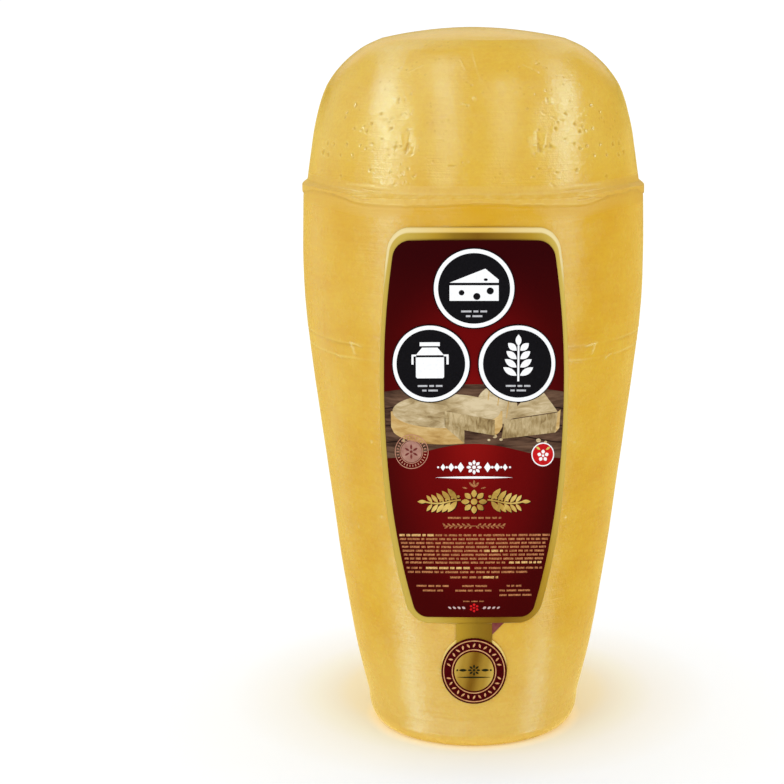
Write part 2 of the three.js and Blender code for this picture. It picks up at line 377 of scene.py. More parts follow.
def makeRindFinish():
    finish, tree = newFinish(
        "provoloneRind", Specular_IOR_Level=rindFinish["gloss"], Subsurface_Weight=rindFinish["glow"],
        Subsurface_Scale=rindFinish["glowReach"], Subsurface_Radius=rindFinish["glowSpread"])
    place = placeOnPiece(tree)
    height = axisOnPiece(tree, "Z")
    patches = addNoise(tree, place, rindFinish["patchScale"], 4)
    tone = addRamp(tree, patches, [
        (0.3, rindFinish["deep"]), (0.5, rindFinish["warm"]), (0.7, rindFinish["pale"])])
    rings = addNoise(tree, placeOnPiece(tree, (0.04, 0.04, 1)), rindFinish["ringScale"], 2)
    ringTone = addRamp(tree, rings, [(0.42, (0, 0, 0)), (0.72, (255, 255, 255))])
    # painted light: the skin turns paler towards the dome, the heel and the foot
    onDome, atHeel, atFoot = [
        remap(tree, height, *rindFinish[name]) for name in ("domeFade", "heelFade", "footFade")]
    tone = layColours(tree, tone, [
        ("pale", work(tree, "MULTIPLY", ringTone, rindFinish["ringShare"])),
        ("dome", onDome), ("heel", atHeel), ("foot", atFoot)])
    grain = addNoise(tree, place, rindFinish["grainScale"], 5, 0.7)
    mottled = mixColours(tree, rindFinish["grainShare"], tone, grain, "OVERLAY")
    specks = work(tree, "MULTIPLY", makeSpecks(tree, place), onDome)
    # painted shadow under the lip, painted highlight on raised edges, painted shade in pinholes, pits,
    # creases and seam grooves
    tone = layColours(tree, mottled, [
        ("lipShadow", readMark(tree, "under")), ("lip", readMark(tree, "paleHighlight")),
        ("hollowShade", specks), ("hollowShade", readMark(tree, "sunk"))])
    soft = addNoise(tree, place, rindFinish["softScale"], 3)
    flankRough, domeRough = [
        remap(tree, soft, 0.3, 0.7, *rindFinish[name]) for name in ("flankRough", "domeRough")]
    upward = remap(tree, height, *rindFinish["domeRise"])
    rough = work(tree, "MULTIPLY_ADD", work(tree, "SUBTRACT", domeRough, flankRough), upward, flankRough)
    dull = work(tree, "MULTIPLY", readMark(tree, "onRim"), rindFinish["rimRough"])
    relief = work(tree, "ADD", work(tree, "MULTIPLY", rings, 0.5),
                  work(tree, "ADD", work(tree, "MULTIPLY", grain, 0.45), soft))
    pricked = work(tree, "SUBTRACT", relief, specks)
    return dress(finish, tone, work(tree, "MAXIMUM", rough, dull), pricked, 0.4, 0.0006)


goldFinish = {
    "side": (214, 185, 86),
    "right": (224, 196, 96),
    "between": (190, 154, 47),
    "deep": (152, 119, 30),
    "middle": (134, 96, 18),
    "returning": (165, 128, 36),
    "bands": [(0.12, "side"), (0.28, "between"), (0.38, "deep"), (0.5, "middle"), (0.67, "returning"),
              (0.78, "between"), (0.92, "right")],  # from left to right
    "shine": (255, 236, 180),
    "shineMiddle": (248, 209, 112),
    "shineSeal": (255, 224, 136),
    "sealTop": 0.068,
    "shade": (86, 46, 8),
    "tilt": 0.055,
    "pivot": (0.003, 0.24),  # the dark line passes here
    "reach": 0.044,
    "metal": 0.25,
    "gloss": 0.15,
    "smoothest": 0.34,
}


def goldAcross(tree):
    # painted reflection on the gold: light at both sides and dark along a slanting line near the middle
    pivotAcross, pivotUp = goldFinish["pivot"]
    rise = work(tree, "SUBTRACT", axisOnPiece(tree, "Z"), pivotUp)
    slant = work(tree, "MULTIPLY", rise, goldFinish["tilt"])
    across = work(tree, "ADD", work(tree, "SUBTRACT", axisOnPiece(tree, "X"), pivotAcross), slant)
    place = work(tree, "MULTIPLY_ADD", across, 0.5 / goldFinish["reach"], 0.5)
    return addRamp(tree, place, [(spot, goldFinish[name]) for spot, name in goldFinish["bands"]])


def brushGold(finish, tone, fine, wear, roughest):
    # the fine grain of foil, in its colour, its roughness and its relief
    tree = finish.node_tree
    worn = mixColours(tree, work(tree, "MULTIPLY", fine, wear), tone, goldFinish["shine"], "OVERLAY")
    rough = remap(tree, fine, 0, 1, goldFinish["smoothest"], roughest)
    return dress(finish, worn, rough, fine, 0.15, 0.0002)


def makeFoilFinish():
    finish, tree = newFinish(
        "goldFoil", Metallic=goldFinish["metal"], Specular_IOR_Level=goldFinish["gloss"])
    # painted reflection across the foil, painted shade at the field's edge and a painted highlight on the
    # frame's bevel
    shaded = mixColours(tree, readMark(tree, "shade"), goldAcross(tree), goldFinish["shade"])
    outward = remap(tree, work(tree, "ABSOLUTE", axisOnPiece(tree, "X")), 0.006, 0.034)
    bright = mixColours(tree, outward, goldFinish["shineMiddle"], goldFinish["shine"])
    onSeal = work(tree, "LESS_THAN", axisOnPiece(tree, "Z"), goldFinish["sealTop"])
    bright = mixColours(tree, onSeal, bright, goldFinish["shineSeal"])
    shiny = mixColours(tree, readMark(tree, "shine"), shaded, bright)
    fine = addNoise(tree, placeOnPiece(tree, (1, 1, 0.15)), 1800, 2)
    return brushGold(finish, shiny, fine, 0.12, 0.48)


redFinish = {
    "glow": (136, 13, 11),
    "between": (102, 4, 5),
    "edge": (64, 0, 1),
    "top": (38, 0, 4),
    "topFade": (0.215, 0.25, 0, 0.8),  # two heights, and how much of the colour shows at each
    "fibre": (150, 20, 14),
    "gloss": 0.03,
    "rough": (0.5, 0.66),
    "glowHeight": 0.166,
    "glowAcross": 0.047,
    "glowUp": 0.098,
}


def makeRedFinish():
    finish, tree = newFinish("redPrint", Specular_IOR_Level=redFinish["gloss"])
    stretch = (1 / redFinish["glowAcross"], 0, 1 / redFinish["glowUp"])
    shift = (0, 0, -redFinish["glowHeight"] / redFinish["glowUp"])
    away = lengthOf(tree, placeOnPiece(tree, stretch, shift))
    glow = addRamp(tree, away, [
        (0.0, redFinish["glow"]), (0.45, redFinish["between"]), (1.0, redFinish["edge"])], "EASE")
    upward = remap(tree, axisOnPiece(tree, "Z"), *redFinish["topFade"])
    topped = mixColours(tree, upward, glow, redFinish["top"])
    grain = addNoise(tree, placeOnPiece(tree), 2200, 2)
    printed = mixColours(tree, work(tree, "MULTIPLY", grain, 0.06), topped, redFinish["fibre"])
    rough = remap(tree, grain, 0, 1, *redFinish["rough"])
    return dress(finish, printed, rough, addNoise(tree, placeOnPiece(tree), 90, 2), 0.25, 0.0004)


def makeInkFinish(name, dark, light, scale, stretch=(1, 1, 1), gloss=0.08, rough=0.6):
    # a printed colour with the slight mottle of ink on foil paper
    finish, tree = newFinish(name, Specular_IOR_Level=gloss)
    mottle = addNoise(tree, placeOnPiece(tree, stretch), scale, 4, 0.6)
    tone = addRamp(tree, mottle, [(0.35, dark), (0.68, light)])
    return dress(finish, tone, remap(tree, mottle, 0, 1, rough - 0.06, rough + 0.06), mottle, 0.1, 0.0001)


def markPaths():
    # every small mark on the skin as a path, its radius at both ends and a depth
    found = []
    for angle, height, radius, depth in pits:
        for side in (-1, 1):
            found.append(([(side * angle, height)], radius, radius, depth))
    for path, start, end, depth, twin in strokes:
        found.append(([(-angle, height) for angle, height in path] if twin else path, start, end, depth))
        if twin:
            found.append((path, start, end, depth))
    draw = random.Random(hiddenPits["seed"])
    for i in range(hiddenPits["dome"]):
        angle = draw.uniform(74, 286)
        height = 283 + 50 * draw.random() ** 1.2
        size = draw.uniform(0.7, 1.25)
        found.append(([(angle, height)], size, size, draw.uniform(0.2, 0.5)))
    for i in range(hiddenPits["flank"]):
        angle = draw.uniform(48, 312)
        size = draw.uniform(0.8, 1.3)
        found.append(([(angle, draw.uniform(30, 262))], size, size, draw.uniform(-0.3, 0.3)))
    return found


def sharesOfMark(girth, along, radiusHere, path, start, end):
    # how far points of the skin are from a mark, as a share of its radius there
    points = [(math.radians(angle), rise) for angle, rise in path]
    best = np.full(len(girth), 1e9)
    pairs = list(zip(points, points[1:] or points))
    for index, ((a, h), (b, k)) in enumerate(pairs):
        turn = np.arctan2(np.sin(girth - a), np.cos(girth - a)) * radiusHere
        rise = along - h
        spanX = (b - a) * radiusHere
        spanY = k - h
        length = np.maximum(spanX ** 2 + spanY ** 2, 1e-6)
        share = np.clip((turn * spanX + rise * spanY) / length, 0, 1)
        size = start + (end - start) * (index + share) / len(pairs)
        best = np.minimum(best, np.hypot(turn - share * spanX, rise - share * spanY) / size)
    return best


def turnCheese():
    outline = outlinePoints()
    bm = bmesh.new()
    # marks painted on the skin: shade in hollows and creases, highlights on raised edges, shadow under the
    # lip, and where the rim is dull
    for name in ("sunk", "paleHighlight", "under", "onRim"):
        bm.verts.layers.float.new(name)
    alongLayer = bm.verts.layers.float.new("along")
    along = 0
    before = None
    heights = []
    for radius, height in outline:
        vert = bm.verts.new((0, -radius, height))
        if before is not None:
            along += (vert.co - before.co).length
            bm.edges.new((before, vert))
        vert[alongLayer] = along
        heights.append((along, radius, height))
        before = vert
    bmesh.ops.spin(bm, geom=bm.verts[:] + bm.edges[:], cent=(0, 0, 0), axis=(0, 0, 1),
                   angle=2 * math.pi, steps=cheese["turns"], use_merge=True)
    bmesh.ops.remove_doubles(bm, verts=bm.verts, dist=0.002)
    bmesh.ops.recalc_face_normals(bm, faces=bm.faces)
    return bm, alongLayer, np.array(heights)


def placeAlong(lines, height):
    # the distance along the outline, from the middle of the foot, for a height on the side
    upper = lines[lines[:, 2] > 0.01]
    return float(np.interp(height, upper[:, 2], upper[:, 0]))


def refineMarks(bm, alongLayer, marks):
    centres = np.array([face.calc_center_median() for face in bm.faces])
    girth = np.arctan2(centres[:, 0], -centres[:, 1])
    radius = np.maximum(np.hypot(centres[:, 0], centres[:, 1]), 1)
    along = np.array([sum(v[alongLayer] for v in face.verts) / len(face.verts) for face in bm.faces])
    near = np.zeros(len(centres), bool)
    for path, start, end, depth in marks:
        near |= sharesOfMark(girth, along, radius, path, start, end) < 1.5 + 0.8 / max(start, end)
    bm.faces.ensure_lookup_table()
    edges = {edge for index in np.nonzero(near)[0] for edge in bm.faces[index].edges}
    bmesh.ops.subdivide_edges(bm, edges=list(edges), cuts=3, use_grid_fill=True)


def outwardOf(along, lines):
    # the direction out of the skin, as a step across and a step up
    step = 0.6
    changeR, changeZ = [
        np.interp(along + step, lines[:, 0], column) - np.interp(along - step, lines[:, 0], column)
        for column in (lines[:, 1], lines[:, 2])]
    length = np.maximum(np.hypot(changeR, changeZ), 1e-6)
    return changeZ / length, -changeR / length


def bell(away, width):
    # 1 where away is 0, falling off smoothly to either side
    return np.exp(-(away / width) ** 2)


def noiseAt(spots, size, shift=(0, 0, 0)):
    # a smooth random value for every spot, in waves of the given size
    return np.array([noise.noise(Vector(spot) / size + Vector(shift)) for spot in spots])


def mouldUnevenness(girth, radius, height):
    # broad hollows, dents and the two faint seams of the mould, with a painted highlight on each seam's ridge
    # and painted shade in its groove
    wide = np.sin(2 * girth + 0.7 + height / 130)
    narrow = np.sin(5 * girth - height / 48)
    sunk = cheese["unevenness"] * (2 + 1.3 * wide + 0.7 * narrow) / 4
    for angle, dentHeight, size, depth in dents:
        turn = girth - math.radians(angle)
        beside = np.arctan2(np.sin(turn), np.cos(turn)) * radius
        away = np.hypot(beside, height - dentHeight) / size
        sunk += depth * np.exp(-2 * away ** 2)
    wander = 0.25 * (np.sin(3 * girth + 1) + 0.6 * np.sin(11 * girth + 2) + 0.4 * np.sin(23 * girth))
    strength = np.clip(0.62 + 0.3 * np.sin(5 * girth + 0.8) + 0.3 * np.sin(13 * girth), 0.15, 1)
    ridgeHighlight = np.zeros(len(height))
    grooveShade = np.zeros(len(height))
    for seam, pale, dark in zip(cheese["seams"], (0.75, 0.4), (0.15, 0.45)):
        beside = height - seam - wander
        hollow = strength * bell(beside + 0.55, 0.6)
        raised = strength * bell(beside - 0.45, 0.45)
        sunk += 0.3 * hollow - 0.16 * raised
        ridgeHighlight += pale * raised
        grooveShade += dark * hollow
    return sunk, ridgeHighlight, grooveShade


def rimLook(girth, height, spots):
    # how far the lip climbs, how deep it is undercut, where it is dull, and where it gets a painted
    # highlight, a painted shadow below the lip and painted shade in its crease
    lower = cheese["rimLower"]
    upper = cheese["rimUpper"]
    aside = np.degrees(np.abs(girth))
    climb, inFront, front, creaseShadeShare, dull = [
        np.interp(aside, *zip(*cheese[name]))
        for name in ("rimClimb", "rimHighlight", "rimShaded", "rimCreaseShade", "rimDull")]
    carried = np.interp(height, [lower - 12, lower, upper, upper + 2.3, lower + 20], [0, 1, 0.42, 0.2, 0])
    wave = cheese["rimWave"] * (np.sin(7 * girth + 0.4) + 0.6 * np.sin(17 * girth))
    ragged = np.array([noise.noise(Vector((spot[0] / 3.2, spot[1] / 3.2, 7))) for spot in spots])
    crumbs = noiseAt(spots, 1.9, (3, 8, 1))
    atLip = bell(height - lower, 1.1)
    onBevel = bell(height - lower - 4.5, 2.2)
    lift = climb * carried + atLip * (wave + cheese["rimRagged"] * 2 * ragged)
    under = cheese["undercut"] * bell(height - lower + 0.95, 0.5)
    under += (0.25 * inFront * onBevel + 0.15 * atLip) * np.maximum(crumbs + 0.3, 0)
    # painted shadow under the lip, fading downward
    shade = front * np.where(height < lower, np.exp(-(lower - height) / 9), 0)
    # painted highlight along the lip and on the bevel
    paleHighlight = (0.3 + 1.2 * ragged) * bell(height - lower - 0.5, 0.6)
    paleHighlight = inFront * (paleHighlight + (0.15 + 0.7 * crumbs) * onBevel)
    # painted shade in the crease below the lip
    creaseShade = creaseShadeShare * (0.8 + 1.2 * ragged) * bell(height - lower + 0.5, 0.42)
    below = dull * np.interp(height, [lower - 9, lower - 3], [0, 1])
    above = np.interp(height, [lower + 8.5, lower + 12.5], [1, 0])
    onRim = np.where(height < lower - 0.5, below, above)
    return lift, under, onRim, *[np.clip(share, 0, 1) for share in (paleHighlight, shade, creaseShade)]


def shapeSkin(bm, alongLayer, lines, marks):
    verts = bm.verts[:]
    spots = np.array([vert.co for vert in verts])
    along = np.array([vert[alongLayer] for vert in verts])
    girth = np.arctan2(spots[:, 0], -spots[:, 1])
    radius = np.interp(along, lines[:, 0], lines[:, 1])
    height = np.interp(along, lines[:, 0], lines[:, 2])
    outR, outZ = outwardOf(along, lines)
    sunk, seamRidgeHighlight, seamGrooveShade = mouldUnevenness(girth, radius, height)
    lift, under, onRim, paleHighlight, shade, creaseShade = rimLook(girth, height, spots)
    sunk += under
    belowRim, aboveRim = cheese["wrinkles"]
    wrinkles = np.where(height > cheese["rimUpper"], aboveRim, belowRim)
    sunk += cheese["waves"] * (noiseAt(spots, 27) + 0.5) + wrinkles * (noiseAt(spots, 7.5, (9, 3, 5)) + 0.5)

    # painted shade in the crease under the lip and in the seam grooves
    tone = np.maximum(creaseShade, seamGrooveShade)
    # painted highlight on the raised seam ridges
    paleHighlight = np.maximum(paleHighlight, seamRidgeHighlight)
    ripple = 1 + 0.75 * noiseAt(spots, 0.95)
    for path, start, end, depth in marks:
        away = ripple * sharesOfMark(girth, along, np.maximum(radius, 1), path, start, end)
        inside = np.clip(1 - away ** 2, 0, 1) ** 1.4
        raised = bell(away - 1.2, 0.3)
        sunk += depth * inside
        if depth > 0:
            sunk -= 0.16 * depth * raised
            # painted shade inside the pit
            tone = np.maximum(tone, inside * min(1, 2.4 * depth) * 0.8)
            # painted highlight on the pit's raised rim
            paleHighlight = np.maximum(paleHighlight, min(0.4, depth) * raised)
        else:
            # painted highlight on a raised mark
            paleHighlight = np.maximum(paleHighlight, inside * min(0.8, -2.4 * depth))

    onFoot = height < cheese["heelHeight"] / 2
    edge = np.clip(radius / cheese["heelRadius"], 0, 1)
    sunk = np.where(onFoot, 0, sunk * edge)
    newRadius = np.clip(radius - sunk * outR, 0, cheese["limit"])
    newHeight = np.minimum(height - sunk * outZ + lift, cheese["crownHeight"])
    newRadius = np.where(radius < 0.01, 0, newRadius)
    layer = bm.verts.layers.float
    # the painted shade, painted highlight and painted lip shadow go onto the skin as marks, with the rim's
    # dullness
    shown = [(layer[name], shares) for name, shares in (
        ("sunk", tone), ("paleHighlight", paleHighlight), ("under", shade), ("onRim", onRim))]
    for index, vert in enumerate(verts):
        reach = newRadius[index]
        vert.co = (reach * math.sin(girth[index]), -reach * math.cos(girth[index]), newHeight[index])
        for mark, shares in shown:
            vert[mark] = shares[index]


def makeCheese():
    bm, alongLayer, lines = turnCheese()
    marks = [([(angle, placeAlong(lines, height)) for angle, height in path], start, end, depth)
             for path, start, end, depth in markPaths()]
    refineMarks(bm, alongLayer, marks)
    shapeSkin(bm, alongLayer, lines, marks)
    bmesh.ops.recalc_face_normals(bm, faces=bm.faces)
    return makePiece("cheeseBody", bm, makeRindFinish(), ["cheese"], 60)


cheeseBody = makeCheese()
print("stage: cheese shaped")


# Labels are drawn flat: x runs along the girth, y is the height and z is out of the cheese.

layers = {  # how far the sheets, and then each printed piece, stand off the cheese
    "back": -0.5, "foil": 0.55, "fieldBack": 0.5, "field": 1.1,
    "plaqueTop": 1.56, "plaqueLeft": 1.56, "plaqueRight": 1.56,
    "plaqueMarks": 1.61, "plaqueLines": 1.61, "wedgeHoles": 1.64,
    "pictureGaps": 1.13, "picturePlanks": 1.16, "picturePear": 1.175, "pictureCords": 1.185,
    "pictureRinds": 1.2, "picturePulp": 1.225, "pictureCutFloor": 1.25, "pictureCutFaces": 1.28,
    "whiteMarks": 1.18, "garlandShade": 1.14, "garland": 1.22,
    "printRows": 1.16, "printBold": 1.16, "footLeaves": 1.16, "footRosette": 1.16,
    "leftRing": 1.32, "leftDisc": 1.32, "leftRosette": 1.36,
    "rightDisc": 1.32, "rightMarks": 1.36, "rightLeaves": 1.36,
    "sealBand": 1.0, "sealCentre": 1.04, "sealLines": 1.06, "sealMotif": 1.1, "tabCorner": 0.45,
}

label = {
    "bottom": 73.2,
    "top": 257.4,
    "belly": 185,
    "shift": 0.4,
    "levelling": 7.6e-6,  # lowers the sides, so that the lines look level from the front
    "halfWidth": 43.6,
    "topNarrowing": 6.7,
    "bottomNarrowing": 15.6,
    "bottomBow": 2.2,
    "topCorner": 7.1,
    "bottomCorner": 5.5,
    "borderTop": 6.0,
    "borderSides": [(75, 4.3), (130, 4.0), (155, 3.5), (182, 2.8), (232, 2.7), (246, 3.7)],  # height, width
    "borderBottom": 3.5,
    "outerCorner": 0.6,
    "neck": 8.8,
}

seal = {
    "height": 43.95,
    "halfWidth": 16.25,
    "halfHeight": 18.4,
    "foilRise": 1.15,  # the foil's disc is this much higher up than the printed ring
}
sealStretch = seal["halfHeight"] / seal["halfWidth"]


def sliceForWrap(bm):
    # cuts the flat shapes into strips and rows, so that they can follow the curve
    for axis, pitch in ((0, 2.2), (1, 6)):
        low = min(vert.co[axis] for vert in bm.verts)
        high = max(vert.co[axis] for vert in bm.verts)
        normal = Vector((1, 0, 0)) if axis == 0 else Vector((0, 1, 0))
        for index in range(math.ceil(low / pitch), math.floor(high / pitch) + 1):
            bmesh.ops.bisect_plane(bm, geom=bm.verts[:] + bm.edges[:] + bm.faces[:], dist=0.01,
                                   plane_co=normal * (index * pitch), plane_no=normal)


def thicken(bm, bottom, top):
    bmesh.ops.translate(bm, vec=(0, 0, bottom), verts=bm.verts)
    grown = bmesh.ops.extrude_face_region(bm, geom=bm.faces[:], use_keep_orig=True)
    raised = [item for item in grown["geom"] if isinstance(item, bmesh.types.BMVert)]
    bmesh.ops.translate(bm, vec=(0, 0, top - bottom), verts=raised)
    bmesh.ops.recalc_face_normals(bm, faces=bm.faces)
    return raised


def wrapOnCheese(bm):
    for vert in bm.verts:
        girth, height, lift = vert.co
        height -= label["levelling"] * girth ** 2 * (375 - height)
        radius = flankRadius(height)
        slope = math.atan2(flankRadius(height + 1) - radius, 1)
        angle = (girth + label["shift"]) / radius
        reach = radius + lift * math.cos(slope)
        vert.co = (reach * math.sin(angle), -reach * math.cos(angle), height - lift * math.sin(slope))


def placedAt(place, turn=0, stretch=(1, 1)):
    return (Matrix.Translation((*place, 0)) @ Matrix.Rotation(math.radians(turn), 4, "Z")
            @ Matrix.Diagonal((*stretch, 1, 1)))


def drawRound(bm, place, radius, sides=32, stretch=1):
    bmesh.ops.create_circle(bm, cap_ends=True, segments=sides, radius=radius,
                            matrix=placedAt(place, 0, (1, stretch)))


def drawRing(bm, place, outer, inner, sides=64, stretch=1):
    known = set(bm.verts)
    verts = bmesh.ops.create_circle(bm, cap_ends=True, segments=sides, radius=outer)["verts"]
    disc = verts[0].link_faces[0]
    bmesh.ops.inset_region(bm, faces=[disc], thickness=outer - inner, use_even_offset=True,
                           use_boundary=True)
    bmesh.ops.delete(bm, geom=[disc], context="FACES_ONLY")
    bmesh.ops.transform(bm, matrix=placedAt(place, 0, (1, stretch)),
                        verts=[vert for vert in bm.verts if vert not in known])


def drawBar(bm, place, width, height, turn=0):
    bmesh.ops.create_grid(bm, x_segments=1, y_segments=1, size=0.5,
                          matrix=placedAt(place, turn, (width, height)))


def drawLeaf(bm, place, length, width, turn=0, sides=16):
    # a leaf with two points, its middle at the place
    verts = bmesh.ops.create_circle(bm, cap_ends=True, segments=sides, radius=1)["verts"]
    for vert in verts:
        vert.co.y *= abs(vert.co.y) * width / 2
        vert.co.x *= length / 2
    bmesh.ops.transform(bm, matrix=placedAt(place, turn), verts=verts)


def drawShape(bm, corners):
    bm.faces.new([bm.verts.new((x, y, 0)) for x, y in corners])


def drawLozenge(bm, place, width, height):
    x, y = place
    drawShape(bm, [(x - width / 2, y), (x, y - height / 2), (x + width / 2, y), (x, y + height / 2)])


def drawRosette(bm, place, reach, petals, width, heart):
    # petals around a small round heart
    for index in range(petals):
        turn = 2 * math.pi * index / petals
        away = (heart + reach) / 2 + 0.15
        middle = (place[0] + away * math.sin(turn), place[1] + away * math.cos(turn))
        drawLeaf(bm, middle, reach - heart, width, 90 - math.degrees(turn), 10)
    drawRound(bm, place, heart * 0.8, 20)


def drawBetween(bm, left, right, lower, upper, columns):
    # the area between two curves, each a height for every place along the girth
    made = bmesh.ops.create_grid(bm, x_segments=columns, y_segments=1, size=0.5)["verts"]
    for vert in made:
        place = left + (right - left) * (vert.co.x + 0.5)
        share = vert.co.y + 0.5
        vert.co = (place, lower(place) + (upper(place) - lower(place)) * share, 0)


def finishPrint(name, bm, finish, thickness=0.16, replaced=()):
    # ink on the label: sliced, given a little body, wrapped and made a piece
    sliceForWrap(bm)
    thicken(bm, layers[name] - thickness, layers[name])
    wrapOnCheese(bm)
    makePiece(name, bm, finish, replaced)


def roundedCorner(radius, distance):
    inside = max(0, radius - distance)
    return radius - math.sqrt(max(0, radius ** 2 - inside ** 2))


def fieldSide(height):
    above = max(0, height - label["belly"]) / (label["top"] - label["belly"])
    below = max(0, label["belly"] - height) / (label["belly"] - label["bottom"])
    return (label["halfWidth"] - label["topNarrowing"] * above ** 2
            - label["bottomNarrowing"] * below ** label["bottomBow"])


def easeBetween(low, high, value):
    share = min(1, max(0, (value - low) / (high - low)))
    return share * share * (3 - 2 * share)


def sideBorder(height):
    return float(np.interp(height, *zip(*label["borderSides"])))


def panelHalfWidth(height, share=0.0):
    # half the panel's width at a height; share 0 is the field, share 1 the foil
    side = sideBorder(height) * share
    top = label["top"] + label["borderTop"] * share
    bottom = label["bottom"] - label["borderBottom"] * share
    topCorner = label["topCorner"] + side * label["outerCorner"]
    return (fieldSide(height) + side - roundedCorner(topCorner, top - height)
            - roundedCorner(label["bottomCorner"] + side, height - bottom))


def bandPlace(girth, height):
    # 0 on the foil's outer edge and 1 where the field begins, found by halving
    low, high = 0.0, 1.0
    for step in range(16):
        share = (low + high) / 2
        top = label["top"] + label["borderTop"] * share
        bottom = label["bottom"] - label["borderBottom"] * share
        within = bottom <= height <= top and abs(girth) <= panelHalfWidth(height, share)
        low, high = (low, share) if within else (share, high)
    return 1 - high


foil = {
    "columns": 72,
    "edgeBand": 5.6,
    "edgeShare": 0.55,  # this share of the columns lies in the outer band
    "crest": 0.26,
    "sideStep": 3.5,
}


def foilHalfWidth(height):
    panelBottom = label["bottom"] - label["borderBottom"]
    if height > panelBottom - 0.01:
        return panelHalfWidth(height, 1)
    middle = seal["height"] + seal["foilRise"]
    up = (height - middle) / seal["halfHeight"]
    disc = seal["halfWidth"] * math.sqrt(max(0.004, 1 - up * up))
    return max(disc, label["neck"]) if height > middle else disc


def foilRows():
    low = seal["height"] + seal["foilRise"] - seal["halfHeight"]
    panelBottom = label["bottom"] - label["borderBottom"]
    panelTop = label["top"] + label["borderTop"]
    bottomCorner = label["bottomCorner"] + sideBorder(label["bottom"])
    topCorner = label["topCorner"] + sideBorder(label["top"])
    disc = [low + seal["halfHeight"] * (1 - math.cos(turn)) for turn in np.linspace(0, 2.6, 40)]
    neck = np.arange(max(disc) + 1, panelBottom - 0.4, 1.6)
    lower = [panelBottom + bottomCorner * (1 - math.cos(turn)) for turn in np.linspace(0, 1.57, 14)]
    side = np.arange(max(lower) + foil["sideStep"], panelTop - topCorner - 1, foil["sideStep"])
    upper = np.arange(panelTop - topCorner, panelTop - 0.2, 0.42)
    ends = [panelTop - 0.16, panelTop - 0.06, panelTop]
    return [*disc, *neck, panelBottom - 0.4, *lower, *side, *upper, *ends]


def foilColumn(place, halfWidth):
    # spreads the columns so that most of them lie near the edges
    band = min(foil["edgeBand"], halfWidth * 0.5)
    middle = 1 - foil["edgeShare"]
    if abs(place) <= middle:
        return place / middle * (halfWidth - band)
    return math.copysign(halfWidth - band * (1 - abs(place)) / foil["edgeShare"], place)


def foilLook(girth, height):
    # lift, shine and shade of the foil's face at a place
    panelBottom = label["bottom"] - label["borderBottom"]
    if height >= panelBottom:
        band = bandPlace(girth, height)
        nearTop = easeBetween(228, 250, height)
        lift = foil["crest"] * (easeBetween(0, 0.3, band) - easeBetween(0.45, 0.95, band))
        edge = 0.15 * (1 - easeBetween(0, 0.14, band))
        shineEnd = 0.12 + 0.31 * nearTop
        shine = easeBetween(-0.02, 0.1, band) - easeBetween(shineEnd - 0.08, shineEnd + 0.04, band)
        shade = easeBetween(0.84, 1, band) * (0.8 - 0.7 * easeBetween(16, 34, abs(girth)))
        return layers["foil"] + lift - edge, nearTop * max(0, shine), nearTop * shade
    up = height - seal["height"] - seal["foilRise"]
    away = math.hypot(girth / seal["halfWidth"], up / seal["halfHeight"])
    if abs(girth) < label["neck"] + 0.01 and up > 12:
        return layers["foil"] - 0.2 * easeBetween(0.9, 1, abs(girth) / label["neck"]), 0, 0
    rim = easeBetween(0.955, 0.985, away)
    upper = easeBetween(-0.05, 0.35, up / seal["halfHeight"])
    crescent = easeBetween(0.895, 0.92, away) - 0.15 * easeBetween(0.985, 1, away)
    return layers["foil"] - 0.2 * rim, upper * crescent, 0


def makeFoil():
    rows = foilRows()
    bm = bmesh.new()
    for name in ("shine", "shade"):
        bm.verts.layers.float.new(name)
    shineLayer, shadeLayer = [bm.verts.layers.float[name] for name in ("shine", "shade")]
    bmesh.ops.create_grid(bm, x_segments=foil["columns"], y_segments=len(rows) - 1, size=1)
    for vert in bm.verts:
        height = rows[round((vert.co.y + 1) / 2 * (len(rows) - 1))]
        vert.co = (foilColumn(vert.co.x, foilHalfWidth(height)), height, 0)
    raised = thicken(bm, layers["back"], layers["foil"])
    for vert in raised:
        vert.co.z, vert[shineLayer], vert[shadeLayer] = foilLook(vert.co.x, vert.co.y)
    wrapOnCheese(bm)
    makePiece("labelFoil", bm, makeFoilFinish(), ["label_foil"], 50)


def fieldRows():
    bottom, top = label["bottom"], label["top"]
    lower = [bottom + label["bottomCorner"] * (1 - math.cos(turn)) for turn in np.linspace(0, 1.57, 10)]
    upper = [top - label["topCorner"] * (1 - math.cos(turn)) for turn in np.linspace(1.57, 0, 11)]
    side = np.arange(max(lower) + 4, min(upper) - 2, 4.4)
    return [*lower, *side, *upper]


def makeField():
    rows = fieldRows()
    bm = bmesh.new()
    bmesh.ops.create_grid(bm, x_segments=44, y_segments=len(rows) - 1, size=1)
    for vert in bm.verts:
        height = rows[round((vert.co.y + 1) / 2 * (len(rows) - 1))]
        vert.co = (vert.co.x * panelHalfWidth(height), height, 0)
    thicken(bm, layers["fieldBack"], layers["field"])
    wrapOnCheese(bm)
    makePiece("labelField", bm, makeRedFinish(), ["label_field"])


makeFoil()
makeField()
print("stage: label laid on")


plaque = {
    "radius": 18.6,
    "places": {"plaque_top": (0, 235.5), "plaque_left": (-20.2, 200.4), "plaque_right": (20.2, 200.4)},
    "outline": 0.5,
    "rim": 1.9,
    "lines": ((10.5, (4.6, 2.2, 3.0)), (12.7, (2.0, 4.4))),  # how far down, and the marks' lengths
    "holes": [(-5.6, 233.6, 1.25, 1, 20), (1.2, 231.9, 1.6, 1, 20), (7.2, 234.4, 1.6, 1, 20),
              (5.2, 239.6, 0.9, 0.7, 16)],  # place, radius, stretch upward and sides
    "depth": 0.56,
    "wedge": (0, 236.4),
    "churn": (-20.2, 202.2),
    "sprig": (20.2, 201.2),
    "markHeight": 0.85,
    "markGap": 0.9,
}


